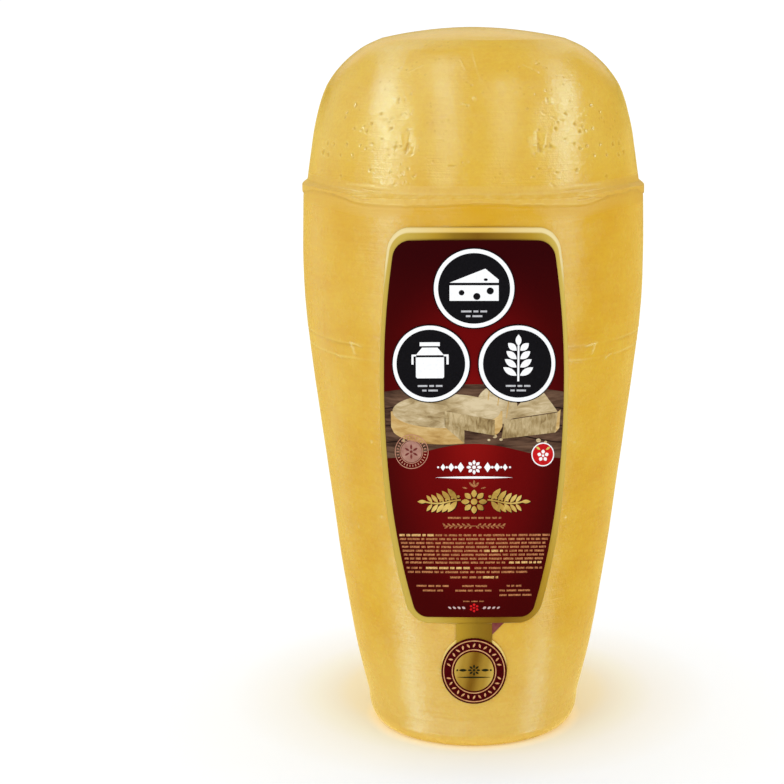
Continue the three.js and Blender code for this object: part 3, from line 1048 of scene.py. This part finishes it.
def makePlaques():
    coal = makeInkFinish("charcoalPrint", (16, 15, 20), (23, 22, 27), 1400, gloss=0.05, rough=0.62)
    for node, place in plaque["places"].items():
        bm = bmesh.new()
        drawRound(bm, place, plaque["radius"], 96)
        name = "plaque" + node.split("_")[1].capitalize()
        finishPrint(name, bm, coal, plaque["depth"], [node])


def drawWedge(bm, place):
    # a piece cut from a round cheese: its rind side and its top
    x, y = place
    drawShape(bm, [(x - 11, y - 6.5), (x + 11, y - 6.5), (x + 11, y + 0.6), (x - 11, y + 0.6)])
    drawShape(bm, [(x - 11, y + 1.8), (x + 11, y + 1.8), (x + 11, y + 3.2), (x + 5, y + 8.2)])


def drawChurn(bm, place):
    # a milk churn with its lid and two handles
    x, y = place
    drawShape(bm, [(x - 6, y - 8.6), (x + 6, y - 8.6), (x + 6.6, y - 8), (x + 6.6, y + 1.4),
                   (x - 6.6, y + 1.4), (x - 6.6, y - 8)])
    drawShape(bm, [(x - 6.6, y + 2.4), (x + 6.6, y + 2.4), (x + 3.6, y + 6), (x - 3.6, y + 6)])
    drawBar(bm, (x, y + 7.6), 9.4, 1.8)
    for side in (-1, 1):
        drawBar(bm, (x + side * 8.2, y + 0.2), 1.0, 4.4)
        drawBar(bm, (x + side * 7.5, y + 2.3), 2.2, 0.9)


def drawSprig(bm, place):
    x, y = place
    drawBar(bm, (x, y - 0.6), 0.9, 17)
    for step in range(4):
        for side in (-1, 1):
            drawLeaf(bm, (x + side * (3.9 - 0.35 * step), y - 4.4 + 3.9 * step), 7.4 - 0.7 * step, 3.1,
                     side * (32 + 3 * step))
    drawLeaf(bm, (x, y + 10.4), 5.4, 2.8, 90)


def makePlaquePrint():
    outer = plaque["radius"] - plaque["outline"]
    white = makeInkFinish("whitePrint", (244, 244, 245), (255, 255, 255), 900)
    bm = bmesh.new()
    for place in plaque["places"].values():
        drawRing(bm, place, outer, outer - plaque["rim"], 96)
    drawWedge(bm, plaque["wedge"])
    drawChurn(bm, plaque["churn"])
    drawSprig(bm, plaque["sprig"])
    finishPrint("plaqueMarks", bm, white, 0.1)
    pale = makeInkFinish("greyPrint", (178, 178, 182), (200, 200, 203), 900)
    bm = bmesh.new()
    for x, y in plaque["places"].values():
        for drop, lengths in plaque["lines"]:
            across = x - (sum(lengths) + plaque["markGap"] * (len(lengths) - 1)) / 2
            for length in lengths:
                drawBar(bm, (across + length / 2, y - drop), length, plaque["markHeight"])
                across += length + plaque["markGap"]
    finishPrint("plaqueLines", bm, pale, 0.1)
    bm = bmesh.new()
    for x, y, radius, stretch, sides in plaque["holes"]:
        drawRound(bm, (x, y), radius, sides, stretch)
    coal = bpy.data.materials["charcoalPrint"]
    finishPrint("wedgeHoles", bm, coal, 0.1)


def dashRow(bm, start, width, height, draw, longest=6.4):
    # a row of plain dashes, which stands for a line of small print
    x, y = start
    end = x + width
    while x < end - 0.8:
        length = min(draw.uniform(1.3, longest), end - x)
        drawBar(bm, (x + length / 2, y + height / 2), length, height)
        x += length + 0.8


makePlaques()
makePlaquePrint()
print("stage: round panels made")


picture = {
    "top": 190.5,
    "sideTop": 187,
    "middle": 161.5,
    "side": 154.5,
    "planks": [(0, 0.23), (0.25, 0.48), (0.5, 0.74), (0.76, 1)],  # shares of the height
    "wheel": (-13.5, 177.6),
    "wheelAcross": 26.5,
    "wheelUp": 8.8,
    "wheelSide": 7.6,
    "cut": (-70, -30),  # the wheel's missing slice, in degrees
    "wedgeTop": [(14.2, 173.4), (40.3, 177.4), (33, 186.4), (24, 184.5)],
    "wedgeFace": [(12.6, 164), (39.3, 167.2), (40.3, 177), (14, 173)],
    "wedgeRind": [(39.3, 167.2), (41.4, 169.3), (41.9, 178.4), (40.3, 177.2)],
    "pear": (10.5, 180.4),
    "pearRadius": 9.4,
    "cords": (-4.4, 0.4, 5.2),
    "crumbs": [(9.5, 165.2, 1.1), (12.4, 163.6, 0.8), (6.8, 163.4, 0.7), (30.5, 163.2, 1.2),
               (34.2, 162.4, 0.8), (-33.5, 163.2, 0.9)],
}


def pictureEdge(place, share):
    # the picture's lower edge for share 0, its upper edge for share 1
    bend = math.cos(place / 44 * math.pi / 2)
    lower = picture["side"] + (picture["middle"] - picture["side"]) * bend ** 2
    upper = picture["sideTop"] + (picture["top"] - picture["sideTop"]) * bend
    return lower + (upper - lower) * share


def makePulpFinish(name, dark, middle, light, scale, stretch):
    # the printed look of pulled cheese: fine strands with darker folds
    finish, tree = newFinish(name, Specular_IOR_Level=0.08)
    strands = addNoise(tree, placeOnPiece(tree, stretch), scale, 5, 0.62, 0.9)
    folds = addNoise(tree, placeOnPiece(tree, (1, 1, 1.6)), scale * 0.35, 2)
    depth = work(tree, "MULTIPLY_ADD", folds, 0.55, work(tree, "MULTIPLY", strands, 0.5))
    tone = addRamp(tree, depth, [(0.36, dark), (0.5, middle), (0.64, light)])
    return dress(finish, tone, remap(tree, strands, 0, 1, 0.52, 0.66), depth, 0.2, 0.0002)


def drawPlank(bm, low, high):
    known = set(bm.verts)
    drawBetween(bm, -43, 43, lambda s: pictureEdge(s, low), lambda s: pictureEdge(s, high), 40)
    for vert in set(bm.verts) - known:
        vert.co.x *= (panelHalfWidth(vert.co.y) - 0.15) / 43


def onWheel(degrees, drop=0.0):
    x, y = picture["wheel"]
    turn = math.radians(degrees)
    return x + picture["wheelAcross"] * math.cos(turn), y + picture["wheelUp"] * math.sin(turn) - drop


def drawWheelSide(bm):
    x, y = picture["wheel"]
    across, up = picture["wheelAcross"], picture["wheelUp"]
    drawBetween(bm, x - across, x + across,
                lambda s: y - picture["wheelSide"] - up * math.sqrt(max(0, 1 - ((s - x) / across) ** 2)),
                lambda s: y, 36)


def drawCutFloor(bm):
    # what shows where the slice is gone
    start, end = picture["cut"]
    rim = [onWheel(turn, picture["wheelSide"] + 0.3) for turn in np.linspace(start, end, 9)]
    drawShape(bm, [picture["wheel"], onWheel(start), *rim, onWheel(end)])


def drawCutFaces(bm):
    x, y = picture["wheel"]
    for turn in picture["cut"]:
        outer = onWheel(turn)
        corners = [(x, y - picture["wheelSide"]), (outer[0], outer[1] - picture["wheelSide"]), outer, (x, y)]
        drawShape(bm, corners if outer[0] > x else corners[::-1])


def makePicture():
    gaps = makeInkFinish("printedGaps", (30, 16, 12), (48, 28, 22), 90, (1, 1, 5), rough=0.65)
    planks = makeInkFinish("printedPlanks", (58, 36, 26), (114, 85, 66), 60, (1, 1, 7), rough=0.65)
    rind = makePulpFinish("printedRind", (154, 114, 58), (193, 155, 92), (216, 185, 126), 120, (1, 1, 3))
    pulp = makePulpFinish("printedPulp", (120, 94, 52), (181, 158, 115), (216, 197, 159), 130, (1, 1, 2.6))
    cut = makePulpFinish("printedCut", (99, 73, 40), (160, 136, 91), (200, 178, 135), 190, (3.2, 3.2, 1))

    bm = bmesh.new()
    drawPlank(bm, 0, 1)
    finishPrint("pictureGaps", bm, gaps)
    bm = bmesh.new()
    for low, high in picture["planks"]:
        drawPlank(bm, low, high)
    finishPrint("picturePlanks", bm, planks)

    x, y = picture["pear"]
    bm = bmesh.new()
    drawRound(bm, (x, y), picture["pearRadius"], 40, 1.02)
    finishPrint("picturePear", bm, pulp)
    bm = bmesh.new()
    for step in picture["cords"]:
        drawBar(bm, (x + step, y + 0.5), 0.5, 18.4 - 0.16 * step ** 2, -7)
    finishPrint("pictureCords", bm, rind, 0.1)
    bm = bmesh.new()
    drawWheelSide(bm)
    drawShape(bm, picture["wedgeRind"])
    finishPrint("pictureRinds", bm, rind)
    bm = bmesh.new()
    across = picture["wheelAcross"] - 0.9
    drawRound(bm, picture["wheel"], across, 56, (picture["wheelUp"] - 0.5) / across)
    drawShape(bm, picture["wedgeTop"])
    for x, y, radius in picture["crumbs"]:
        drawRound(bm, (x, y), radius, 12, 0.8)
    finishPrint("picturePulp", bm, pulp)
    bm = bmesh.new()
    drawCutFloor(bm)
    finishPrint("pictureCutFloor", bm, planks)
    bm = bmesh.new()
    drawCutFaces(bm)
    drawShape(bm, picture["wedgeFace"])
    finishPrint("pictureCutFaces", bm, cut)


makePicture()
print("stage: picture printed")

whiteMarks = {
    "height": 149.9,
    "rosette": 3.4,
    "lozenges": [(6.2, 3.2, 5), (10.6, 2.8, 4.2), (14.4, 2.3, 3.4)],  # place, width, height
    "dots": [(8.4, 0.65), (12.6, 0.55), (16.7, 0.5)],
    "rule": (0, 144.8),
    "ruleLength": 36,
    "ruleWidth": 1.1,
}

garland = {
    "height": 132.7,
    "halfLength": 23.4,
    "stemWidth": 0.75,
    "sway": 0.9,
    "pairs": [8.6, 11.5, 14.3, 17.0, 19.5],  # where leaf pairs leave the stem, on either side
    "leafLength": 7,
    "leafWidth": 2.7,
    "rosette": 5.9,
}


def makeWhiteMarks():
    white = bpy.data.materials["whitePrint"]
    height = whiteMarks["height"]
    bm = bmesh.new()
    drawRosette(bm, (0, height), whiteMarks["rosette"], 8, 1.5, 1.1)
    for side in (-1, 1):
        for place, width, tall in whiteMarks["lozenges"]:
            drawLozenge(bm, (side * place, height), width, tall)
        for place, radius in whiteMarks["dots"]:
            drawRound(bm, (side * place, height), radius, 12)
    drawLeaf(bm, whiteMarks["rule"], whiteMarks["ruleLength"], whiteMarks["ruleWidth"], 0, 40)
    finishPrint("whiteMarks", bm, white)


def stemHeight(place):
    return garland["height"] + garland["sway"] * math.sin(abs(place) / garland["halfLength"] * 2 * math.pi)


def drawGarland(bm, shift=(0, 0)):
    half = garland["stemWidth"] / 2
    end = garland["halfLength"]
    known = set(bm.verts)
    for side in (-1, 1):
        left, right = (6.2, end) if side > 0 else (-end, -6.2)
        drawBetween(bm, left, right, lambda s: stemHeight(s) - half, lambda s: stemHeight(s) + half, 24)
        for index, place in enumerate(garland["pairs"]):
            size = 1 - 0.09 * index
            length = garland["leafLength"] * size
            root = stemHeight(place)
            for up in (-1, 1):
                middle = (side * (place + 1.5), root + up * (0.5 + length * 0.38))
                drawLeaf(bm, middle, length, garland["leafWidth"] * size, side * up * 52, 12)
            drawRound(bm, (side * (place - 1.3), root + 1.9 * size), 0.7 * size, 12)
        drawLeaf(bm, (side * (end + 1.2), stemHeight(end)), 4.6, 1.9, 0, 12)
    drawRosette(bm, (0, garland["height"]), garland["rosette"], 8, 2.7, 1.9)
    bmesh.ops.transform(bm, matrix=placedAt(shift), verts=[vert for vert in bm.verts if vert not in known])


def makeGarland():
    gold = makePulpFinish("garlandGold", (136, 104, 42), (188, 152, 70), (226, 196, 112), 85, (1, 1, 1))
    shade = makeInkFinish("garlandShade", (44, 4, 8), (56, 8, 11), 500)
    bm = bmesh.new()
    drawGarland(bm, (0.4, -0.45))
    finishPrint("garlandShade", bm, shade)
    bm = bmesh.new()
    drawGarland(bm)
    finishPrint("garland", bm, gold)


makeWhiteMarks()
makeGarland()

smallPrint = {
    "rows": [(115.7, -36.7, 37.4), (113.7, -36.4, 37.1), (111.7, -35.9, 36.6), (109.7, -35.4, 36.1),
             (107.7, -35, 35.6), (105.7, -34.5, 35.1), (103.7, -34, 34.6), (101.7, -33.5, 34.1),
             (98.9, -33, 33.4), (96.8, -32.4, 27), (94.1, -11.3, 12.1)],
    "height": 1.0,
    "bold": {0: (0, 0.25), 4: (0.56, 0.7), 7: (0.74, 1), 8: (0.15, 0.5), 10: (0.66, 1)},
    "columns": [(89.6, -28, -12), (87.2, -24.7, -14.8), (89.6, -5.6, 6.3), (87.2, -8.8, 9.3),
                (89.6, 15.5, 24.3), (87.2, 12, 28), (84.8, 12, 28), (124.5, -12.2, 12.7)],
    "footNote": (81.6, -5.1, 6.1),
    "footMarks": 78.2,
    "fan": 139.9,
    "leafRow": 120.4,
    "seed": 7,
}


def drawSprigs(bm):
    # a fan of small leaves over the garland and a thin leafy stem under it
    for turn, length in ((50, 3.4), (90, 4), (130, 3.4)):
        lean = math.radians(turn)
        middle = (1.9 * math.cos(lean), smallPrint["fan"] + 1.7 * math.sin(lean))
        drawLeaf(bm, middle, length, 1.2, turn, 10)
    for side in (-1, 1):
        drawLeaf(bm, (side * 4.3, smallPrint["fan"] - 0.3), 2.6, 0.8, side * 14, 10)
    drawBar(bm, (0, smallPrint["leafRow"]), 29, 0.32)
    for index in range(12):
        away = 1 + 2.3 * (index // 2)
        for side in (-1, 1):
            lean = 1 if index % 2 else -1
            drawLeaf(bm, (side * (away + 1.1 + 0.5 * lean), smallPrint["leafRow"] + lean * 0.75),
                     1.9, 0.8, side * lean * 32, 10)


def makeSmallPrint():
    copper = makeInkFinish("copperPrint", (122, 64, 34), (206, 140, 90), 1500)
    bright = makeInkFinish("brightCopper", (170, 120, 62), (242, 202, 134), 1500)
    draw = random.Random(smallPrint["seed"])
    plainRows = bmesh.new()
    boldRows = bmesh.new()
    for index, (height, left, right) in enumerate(smallPrint["rows"]):
        low, high = smallPrint["bold"].get(index, (0, 0))
        span = right - left
        bottom = height - smallPrint["height"] / 2
        if low > 0 or high == 0:
            first = span * (low or 1)
            dashRow(plainRows, (left, bottom), first - 0.8, smallPrint["height"], draw)
        if high:
            dashRow(boldRows, (left + span * low, bottom - 0.05), span * (high - low) - 0.8,
                    smallPrint["height"] + 0.1, draw)
            if high < 1:
                dashRow(plainRows, (left + span * high, bottom), span * (1 - high),
                        smallPrint["height"], draw)
    for height, left, right in smallPrint["columns"]:
        dashRow(plainRows, (left, height - 0.45), right - left, 0.9, draw)
    height, left, right = smallPrint["footNote"]
    dashRow(plainRows, (left, height - 0.3), right - left, 0.6, draw, 3.2)
    drawSprigs(plainRows)
    finishPrint("printRows", plainRows, copper, 0.1)
    finishPrint("printBold", boldRows, bright, 0.1)


def makeFootMarks():
    # two rows of small pale leaves and a red rosette between them
    height = smallPrint["footMarks"]
    faint = makeInkFinish("footPrint", (188, 156, 152), (216, 192, 190), 900)
    red = makeInkFinish("brightRed", (196, 16, 22), (226, 30, 34), 500)
    bm = bmesh.new()
    for side in (-1, 1):
        for step in range(4):
            drawLeaf(bm, (side * (4.9 + 2.2 * step), height), 1.9, 1.25 - 0.1 * step, side * 35, 10)
    finishPrint("footLeaves", bm, faint, 0.1)
    bm = bmesh.new()
    drawRosette(bm, (0, height), 2.2, 6, 1.3, 0.8)
    finishPrint("footRosette", bm, red, 0.1)


makeSmallPrint()
makeFootMarks()
print("stage: small print made")

discs = {
    "leftPlace": (-29.7, 157.7),
    "leftRadius": 8.5,
    "rightPlace": (32.9, 156.3),
    "rightRadius": 5.9,
    "rightRim": 0.55,
}


def makeLeftDisc():
    # a pale ring of ticks around a pale disc, printed thinly over the picture
    pale = makeInkFinish("paleRing", (182, 122, 100), (206, 152, 126), 420)
    middle = makeInkFinish("paleDisc", (160, 112, 98), (182, 136, 120), 260)
    maroon = makeInkFinish("dullMaroon", (104, 40, 38), (124, 58, 52), 500)
    x, y = discs["leftPlace"]
    radius = discs["leftRadius"]
    bm = bmesh.new()
    drawRing(bm, (x, y), radius, radius - 0.34, 56)
    drawRing(bm, (x, y), radius - 2.6, radius - 2.9, 48)
    for index in range(30):
        turn = 2 * math.pi * index / 30
        spot = (x + (radius - 1.5) * math.cos(turn), y + (radius - 1.5) * math.sin(turn))
        drawBar(bm, spot, 1.0 if index % 3 else 1.3, 0.4, math.degrees(turn))
    finishPrint("leftRing", bm, pale, 0.12)
    bm = bmesh.new()
    drawRound(bm, (x, y), radius - 3.2, 40)
    finishPrint("leftDisc", bm, middle, 0.12)
    bm = bmesh.new()
    drawRosette(bm, (x, y), 3.6, 6, 1.1, 0.9)
    finishPrint("leftRosette", bm, maroon, 0.1)


def makeRightDisc():
    x, y = discs["rightPlace"]
    radius = discs["rightRadius"]
    white = bpy.data.materials["whitePrint"]
    red = makeInkFinish("discRed", (186, 14, 20), (208, 24, 28), 400)
    yellow = makeInkFinish("leafYellow", (196, 184, 84), (222, 208, 118), 400)
    bm = bmesh.new()
    drawRing(bm, (x, y), radius, radius - discs["rightRim"], 48)
    drawRosette(bm, (x, y - 0.6), 2.9, 5, 1.9, 0.8)
    finishPrint("rightMarks", bm, white, 0.14)
    bm = bmesh.new()
    drawRound(bm, (x, y), radius - 0.2, 48)
    finishPrint("rightDisc", bm, red, 0.14)
    bm = bmesh.new()
    for side in (-1, 1):
        drawLeaf(bm, (x + side * 2.6, y + 3.1), 2.8, 1.1, side * 36, 10)
    finishPrint("rightLeaves", bm, yellow, 0.14)


makeLeftDisc()
makeRightDisc()

sealLook = {
    "outer": 15.8,
    "outerLine": (14.95, 14.48),
    "innerLine": (10.72, 10.25),
    "centre": 9.45,
    "leafRing": 12.57,
    "leafLength": 2.4,
    "leafWidth": 1.0,
    "leafStep": 12.5,
    "goldSide": (214, 182, 92),
    "goldBetween": (174, 140, 52),
    "goldBand": (130, 93, 17),
    "goldSlant": -0.18,
    "goldScale": 48,
    "motifRise": 0.8,
    "ruleDrop": 3.1,
}


def makeSealGold():
    finish, tree = newFinish(
        "sealGold", Metallic=goldFinish["metal"], Specular_IOR_Level=goldFinish["gloss"])
    # painted reflection: the gold is light at both sides and dark along a slanting band
    up = work(tree, "SUBTRACT", axisOnPiece(tree, "Z"), seal["height"] / 1000)
    across = work(tree, "MULTIPLY_ADD", up, sealLook["goldSlant"], axisOnPiece(tree, "X"))
    place = work(tree, "MULTIPLY_ADD", across, sealLook["goldScale"], 0.5)
    side, between, band = sealLook["goldSide"], sealLook["goldBetween"], sealLook["goldBand"]
    gold = addRamp(tree, place, [
        (0.0, side), (0.26, between), (0.5, band), (0.76, between), (1.0, side)], "EASE")
    return brushGold(finish, gold, addNoise(tree, placeOnPiece(tree), 1500, 3), 0.2, 0.5)


def drawLaurel(bm):
    # two arcs of leaf pairs, above and below, with a gap at either side
    x, y = 0, seal["height"]
    for half in (0, 180):
        for index in range(13):
            away = 90 - (index - 6) * sealLook["leafStep"] + half
            turn = math.radians(away)
            lean = 24 if index % 2 else -24
            spot = (x + sealLook["leafRing"] * math.cos(turn),
                    y + sealLook["leafRing"] * math.sin(turn) * sealStretch)
            drawLeaf(bm, spot, sealLook["leafLength"], sealLook["leafWidth"], away + lean, 10)


def makeSeal():
    place = (0, seal["height"])
    maroon = makeInkFinish("maroonPrint", (60, 0, 3), (80, 2, 8), 600, gloss=0.03)
    copper = makeInkFinish("sealCopper", (196, 138, 88), (226, 174, 122), 500)
    olive = makeInkFinish("darkOlive", (24, 28, 8), (40, 42, 14), 500)
    bm = bmesh.new()
    drawRing(bm, place, sealLook["outer"], sealLook["centre"] - 0.2, 96, sealStretch)
    finishPrint("sealBand", bm, maroon, 1.4, ["seal_band"])
    bm = bmesh.new()
    drawRound(bm, place, sealLook["centre"], 72, sealStretch)
    finishPrint("sealCentre", bm, makeSealGold(), 0.5, ["seal_centre"])
    bm = bmesh.new()
    for outer, inner in (sealLook["outerLine"], sealLook["innerLine"]):
        drawRing(bm, place, outer, inner, 96, sealStretch)
    drawLaurel(bm)
    finishPrint("sealLines", bm, copper, 0.12)
    bm = bmesh.new()
    motif = seal["height"] + sealLook["motifRise"]
    drawRosette(bm, (0, motif), 2.9, 8, 1.05, 0.85)
    for side in (-1, 1):
        drawLeaf(bm, (side * 5.3, motif), 3.8, 1.5, 0, 12)
        drawRound(bm, (side * 8, motif), 0.5, 12)
    drawLeaf(bm, (0, seal["height"] - sealLook["ruleDrop"]), 16.4, 0.8, 0, 24)
    finishPrint("sealMotif", bm, olive, 0.12)


def makeTabCorner():
    # the coloured corner that peeps out beside the neck
    mauve = makeInkFinish("mauvePaper", (118, 50, 50), (140, 78, 72), 240, rough=0.55)
    bm = bmesh.new()
    drawShape(bm, [(8.7, 63.5), (14.9, 70.3), (8.7, 70.3)])
    finishPrint("tabCorner", bm, mauve, 0.8, ["tab_corner"])


makeSeal()
makeTabCorner()
print("stage: all pieces made")


camera = {
    "place": (0, -0.984, 0.3752),
    "lookDown": 11.8,
    "lens": 91.84,
    "sensor": 36,
    "sideShift": -0.1036,
    "farEnd": 200,
}

studio = {
    "skyStrength": 1.03,
    "skyInGloss": (0.34, 0.27, 0.07),  # the sky's colour where the cheese mirrors it
    "floorSize": 40,
    "floorFill": 0.3,
    "floorFillTint": (0.35, 0.7, 1.0),
    "glowMiddle": (0, 0.035),
    "glow": [  # the cheese's warm light on the floor: distance and the floor's colour there
        (0.045, (0.93, 0.78, 0.47)), (0.066, (0.93, 0.81, 0.56)), (0.074, (0.92, 0.84, 0.67)),
        (0.083, (0.94, 0.89, 0.75)), (0.097, (0.96, 0.93, 0.87)), (0.13, (0.985, 0.985, 0.985))],
    "contactGlow": (0.2, 0.12, 0.01),
    "contactReach": (0.047, 0.056),
    "keyPower": 1.4,
    "keySize": 1.05,
    "keyPlace": (-1.3, -1.3, 1.1),
    "keyAim": (0, 0, 0.2),
}

shine = {  # long soft lights that draw the pale streaks on the cheese
    "distance": 2.4,
    "middle": (0, 0, 0.25),
    "overlap": 1.04,  # neighbouring lengths of a light meet without a gap
    "cool": (0.55, 1.0, 1.15),
    "white": (1.0, 0.95, 0.9),
    "gold": (0.95, 0.77, 0.33),
    "lights": [  # tint, width in degrees, strength, path of direction, rise and share of the strength
        ("cool", 12, 36, [
            (-80, -50, 0.92), (-68, -40, 0.66), (-60, -28, 0.33), (-54, -6, 0.6), (-61, 10, 1),
            (-67, 20, 1.08), (-74, 31, 1.15), (-97, 48, 0.6), (-129, 49.5, 0.22), (-146, 46, 0.12),
            (-162, 36, 0.09)]),
        ("cool", 40, 4.6, [
            (-86, -34, 0.3), (-78, -18, 0.35), (-68, -2, 0.5), (-68, 10, 1), (-72, 30, 1.1),
            (-95, 46, 0.54)]),
        ("cool", 22, 4.8, [
            (-40, 0, 0.4), (-46, 14, 0.9), (-51, 30, 1), (-76, 58, 0.5), (-116, 63, 0.45), (-142, 60, 0.5)]),
        ("cool", 9, 36, [(-18, -2, 0.5), (-19, 17, 0.7), (-23, 40, 1), (-46, 68, 0.7), (-134, 74, 0.33)]),
        ("cool", 6, 37, [(21, 2, 0.3), (22, 17, 0.5), (25, 40, 1), (48, 68, 0.34)]),
        ("cool", 12, 3.4, [(46, 0, 0.5), (49, 16, 1), (54, 34, 1.3), (79, 57, 1)]),
        ("cool", 11, 37, [
            (82, -49, 0.7), (72, -40, 0.48), (63, -30, 0.18), (58, -6, 0.5), (65, 10, 1), (70, 20, 1.2),
            (79, 30, 1.2), (104, 47, 0.54), (128, 54, 0.08), (163, 33, 0.08)]),
        ("cool", 14, 10, [
            (-56, -38, 0.6), (-40, -38, 1.1), (-22, -38, 1.1), (-4, -38, 0.7), (14, -38, 0.3),
            (30, -38, 0.35), (46, -38, 0.15)]),
        ("cool", 44, 1.9, [(-112, -24, 1), (-118, 6, 1), (-120, 34, 0.9)]),
        ("cool", 22, 2.2, [(-152, 42, 0.3), (-165, 44, 1), (-178, 44, 0.5)]),
        ("white", 18, 2.0, [(-150, 19, 1), (180, 20, 1), (150, 19, 1)]),
        ("gold", 50, 2.5, [
            (-100, -22, 0.4), (-130, -22, 0.8), (-160, -20, 1), (160, -20, 1), (130, -22, 0.8),
            (100, -22, 0.4)]),
    ],
}


def makeCamera():
    view = bpy.data.cameras.new("productCamera")
    view.lens = camera["lens"]
    view.sensor_width = camera["sensor"]
    view.shift_x = camera["sideShift"]
    view.clip_end = camera["farEnd"]
    holder = bpy.data.objects.new("productCamera", view)
    holder.location = camera["place"]
    holder.rotation_euler = (math.radians(90 - camera["lookDown"]), 0, 0)
    scene.collection.objects.link(holder)
    scene.camera = holder


def makeFloor():
    bm = bmesh.new()
    bmesh.ops.create_grid(bm, x_segments=8, y_segments=8, size=studio["floorSize"])
    mesh = bpy.data.meshes.new("studioFloor")
    bm.to_mesh(mesh)
    bm.free()
    finish, tree = newFinish("paleFloor", Roughness=0.9, Specular_IOR_Level=0.0,
                             Emission_Color=(*studio["contactGlow"], 1))
    middle = studio["glowMiddle"]
    away = lengthOf(tree, placeOnPiece(tree, shift=(-middle[0], -middle[1], 0)))
    reach = studio["glow"][-1][0]
    stops = [(distance / reach, (*colour, 1)) for distance, colour in studio["glow"]]
    tone = addRamp(tree, work(tree, "DIVIDE", away, reach), stops)
    fibre = addNoise(tree, placeOnPiece(tree), 3, 2)
    plain = mixColours(tree, work(tree, "MULTIPLY", fibre, 0.02), tone, (255, 255, 255))
    contact = remap(tree, lengthOf(tree, placeOnPiece(tree)), *studio["contactReach"], 1, 0)
    sockets = tree.nodes["Principled BSDF"].inputs
    feed(tree, sockets["Base Color"], plain)
    feed(tree, sockets["Emission Strength"], contact)
    mesh.materials.append(finish)
    floor = bpy.data.objects.new("studioFloor", mesh)
    floor.visible_glossy = False  # the lower flank would mirror it as a white edge
    scene.collection.objects.link(floor)


def makeSky():
    world = bpy.data.worlds.new("studioSky")
    world.use_nodes = True
    tree = world.node_tree
    back = tree.nodes["Background"]
    mirrored = addNode(tree, "ShaderNodeLightPath").outputs["Is Glossy Ray"]
    whole = (studio["skyStrength"], studio["skyStrength"], studio["skyStrength"], 1)
    tree.links.new(mixColours(tree, mirrored, whole, (*studio["skyInGloss"], 1)), back.inputs["Color"])
    scene.world = world


def hangLight(name, lamp, place, facing):
    # facing has the lamp's own axes as columns; a lamp shines along its -Z
    holder = bpy.data.objects.new(name, lamp)
    holder.location = place
    holder.rotation_euler = facing.to_euler()
    holder.visible_camera = False
    scene.collection.objects.link(holder)
    return holder


def towards(direction, rise):
    turn, lift = math.radians(direction), math.radians(rise)
    return Vector((math.sin(turn) * math.cos(lift), -math.cos(turn) * math.cos(lift), math.sin(lift)))


def addShine(name, start, end, width, strength, tint, lit):
    # one straight length of a soft light between two directions
    first, last = towards(*start[:2]), towards(*end[:2])
    away = (first + last).normalized()
    along = (last - first).normalized()
    lamp = bpy.data.lights.new(name, "AREA")
    lamp.shape = "RECTANGLE"
    lamp.size = 2 * shine["distance"] * math.tan(math.radians(width / 2))
    lamp.size_y = (last - first).length * shine["distance"] * shine["overlap"]
    lamp.energy = strength * (start[2] + end[2]) / 2 * lamp.size * lamp.size_y
    lamp.color = shine[tint]
    facing = Matrix((along.cross(away), along, away)).transposed()
    holder = hangLight(name, lamp, Vector(shine["middle"]) + away * shine["distance"], facing)
    holder.visible_diffuse = False
    holder.light_linking.receiver_collection = lit
    holder.light_linking.blocker_collection = lit


def makeLights():
    lamp = bpy.data.lights.new("keyLight", "AREA")
    lamp.size = studio["keySize"]
    lamp.energy = studio["keyPower"]
    place = Vector(studio["keyPlace"])
    facing = (Vector(studio["keyAim"]) - place).to_track_quat("-Z", "Y").to_matrix()
    hangLight("keyLight", lamp, place, facing).visible_glossy = False

    onCheese = bpy.data.collections.new("shineOnCheese")
    onCheese.objects.link(cheeseBody)
    for index, (tint, width, strength, path) in enumerate(shine["lights"]):
        for step, (start, end) in enumerate(zip(path, path[1:])):
            addShine(f"shine{index + 1}part{step + 1}", start, end, width, strength, tint, onCheese)

    onFloor = bpy.data.collections.new("fillOnFloor")
    onFloor.objects.link(bpy.data.objects["studioFloor"])
    lamp = bpy.data.lights.new("floorFill", "SUN")
    lamp.energy = studio["floorFill"]
    lamp.color = studio["floorFillTint"]
    fill = hangLight("floorFill", lamp, (0, 0, 2), Matrix.Identity(3))
    fill.light_linking.receiver_collection = onFloor
    fill.light_linking.blocker_collection = onFloor


makeCamera()
makeFloor()
makeSky()
makeLights()
scene.view_settings.view_transform = "Standard"
scene.view_settings.look = "None"
print("stage: studio set")
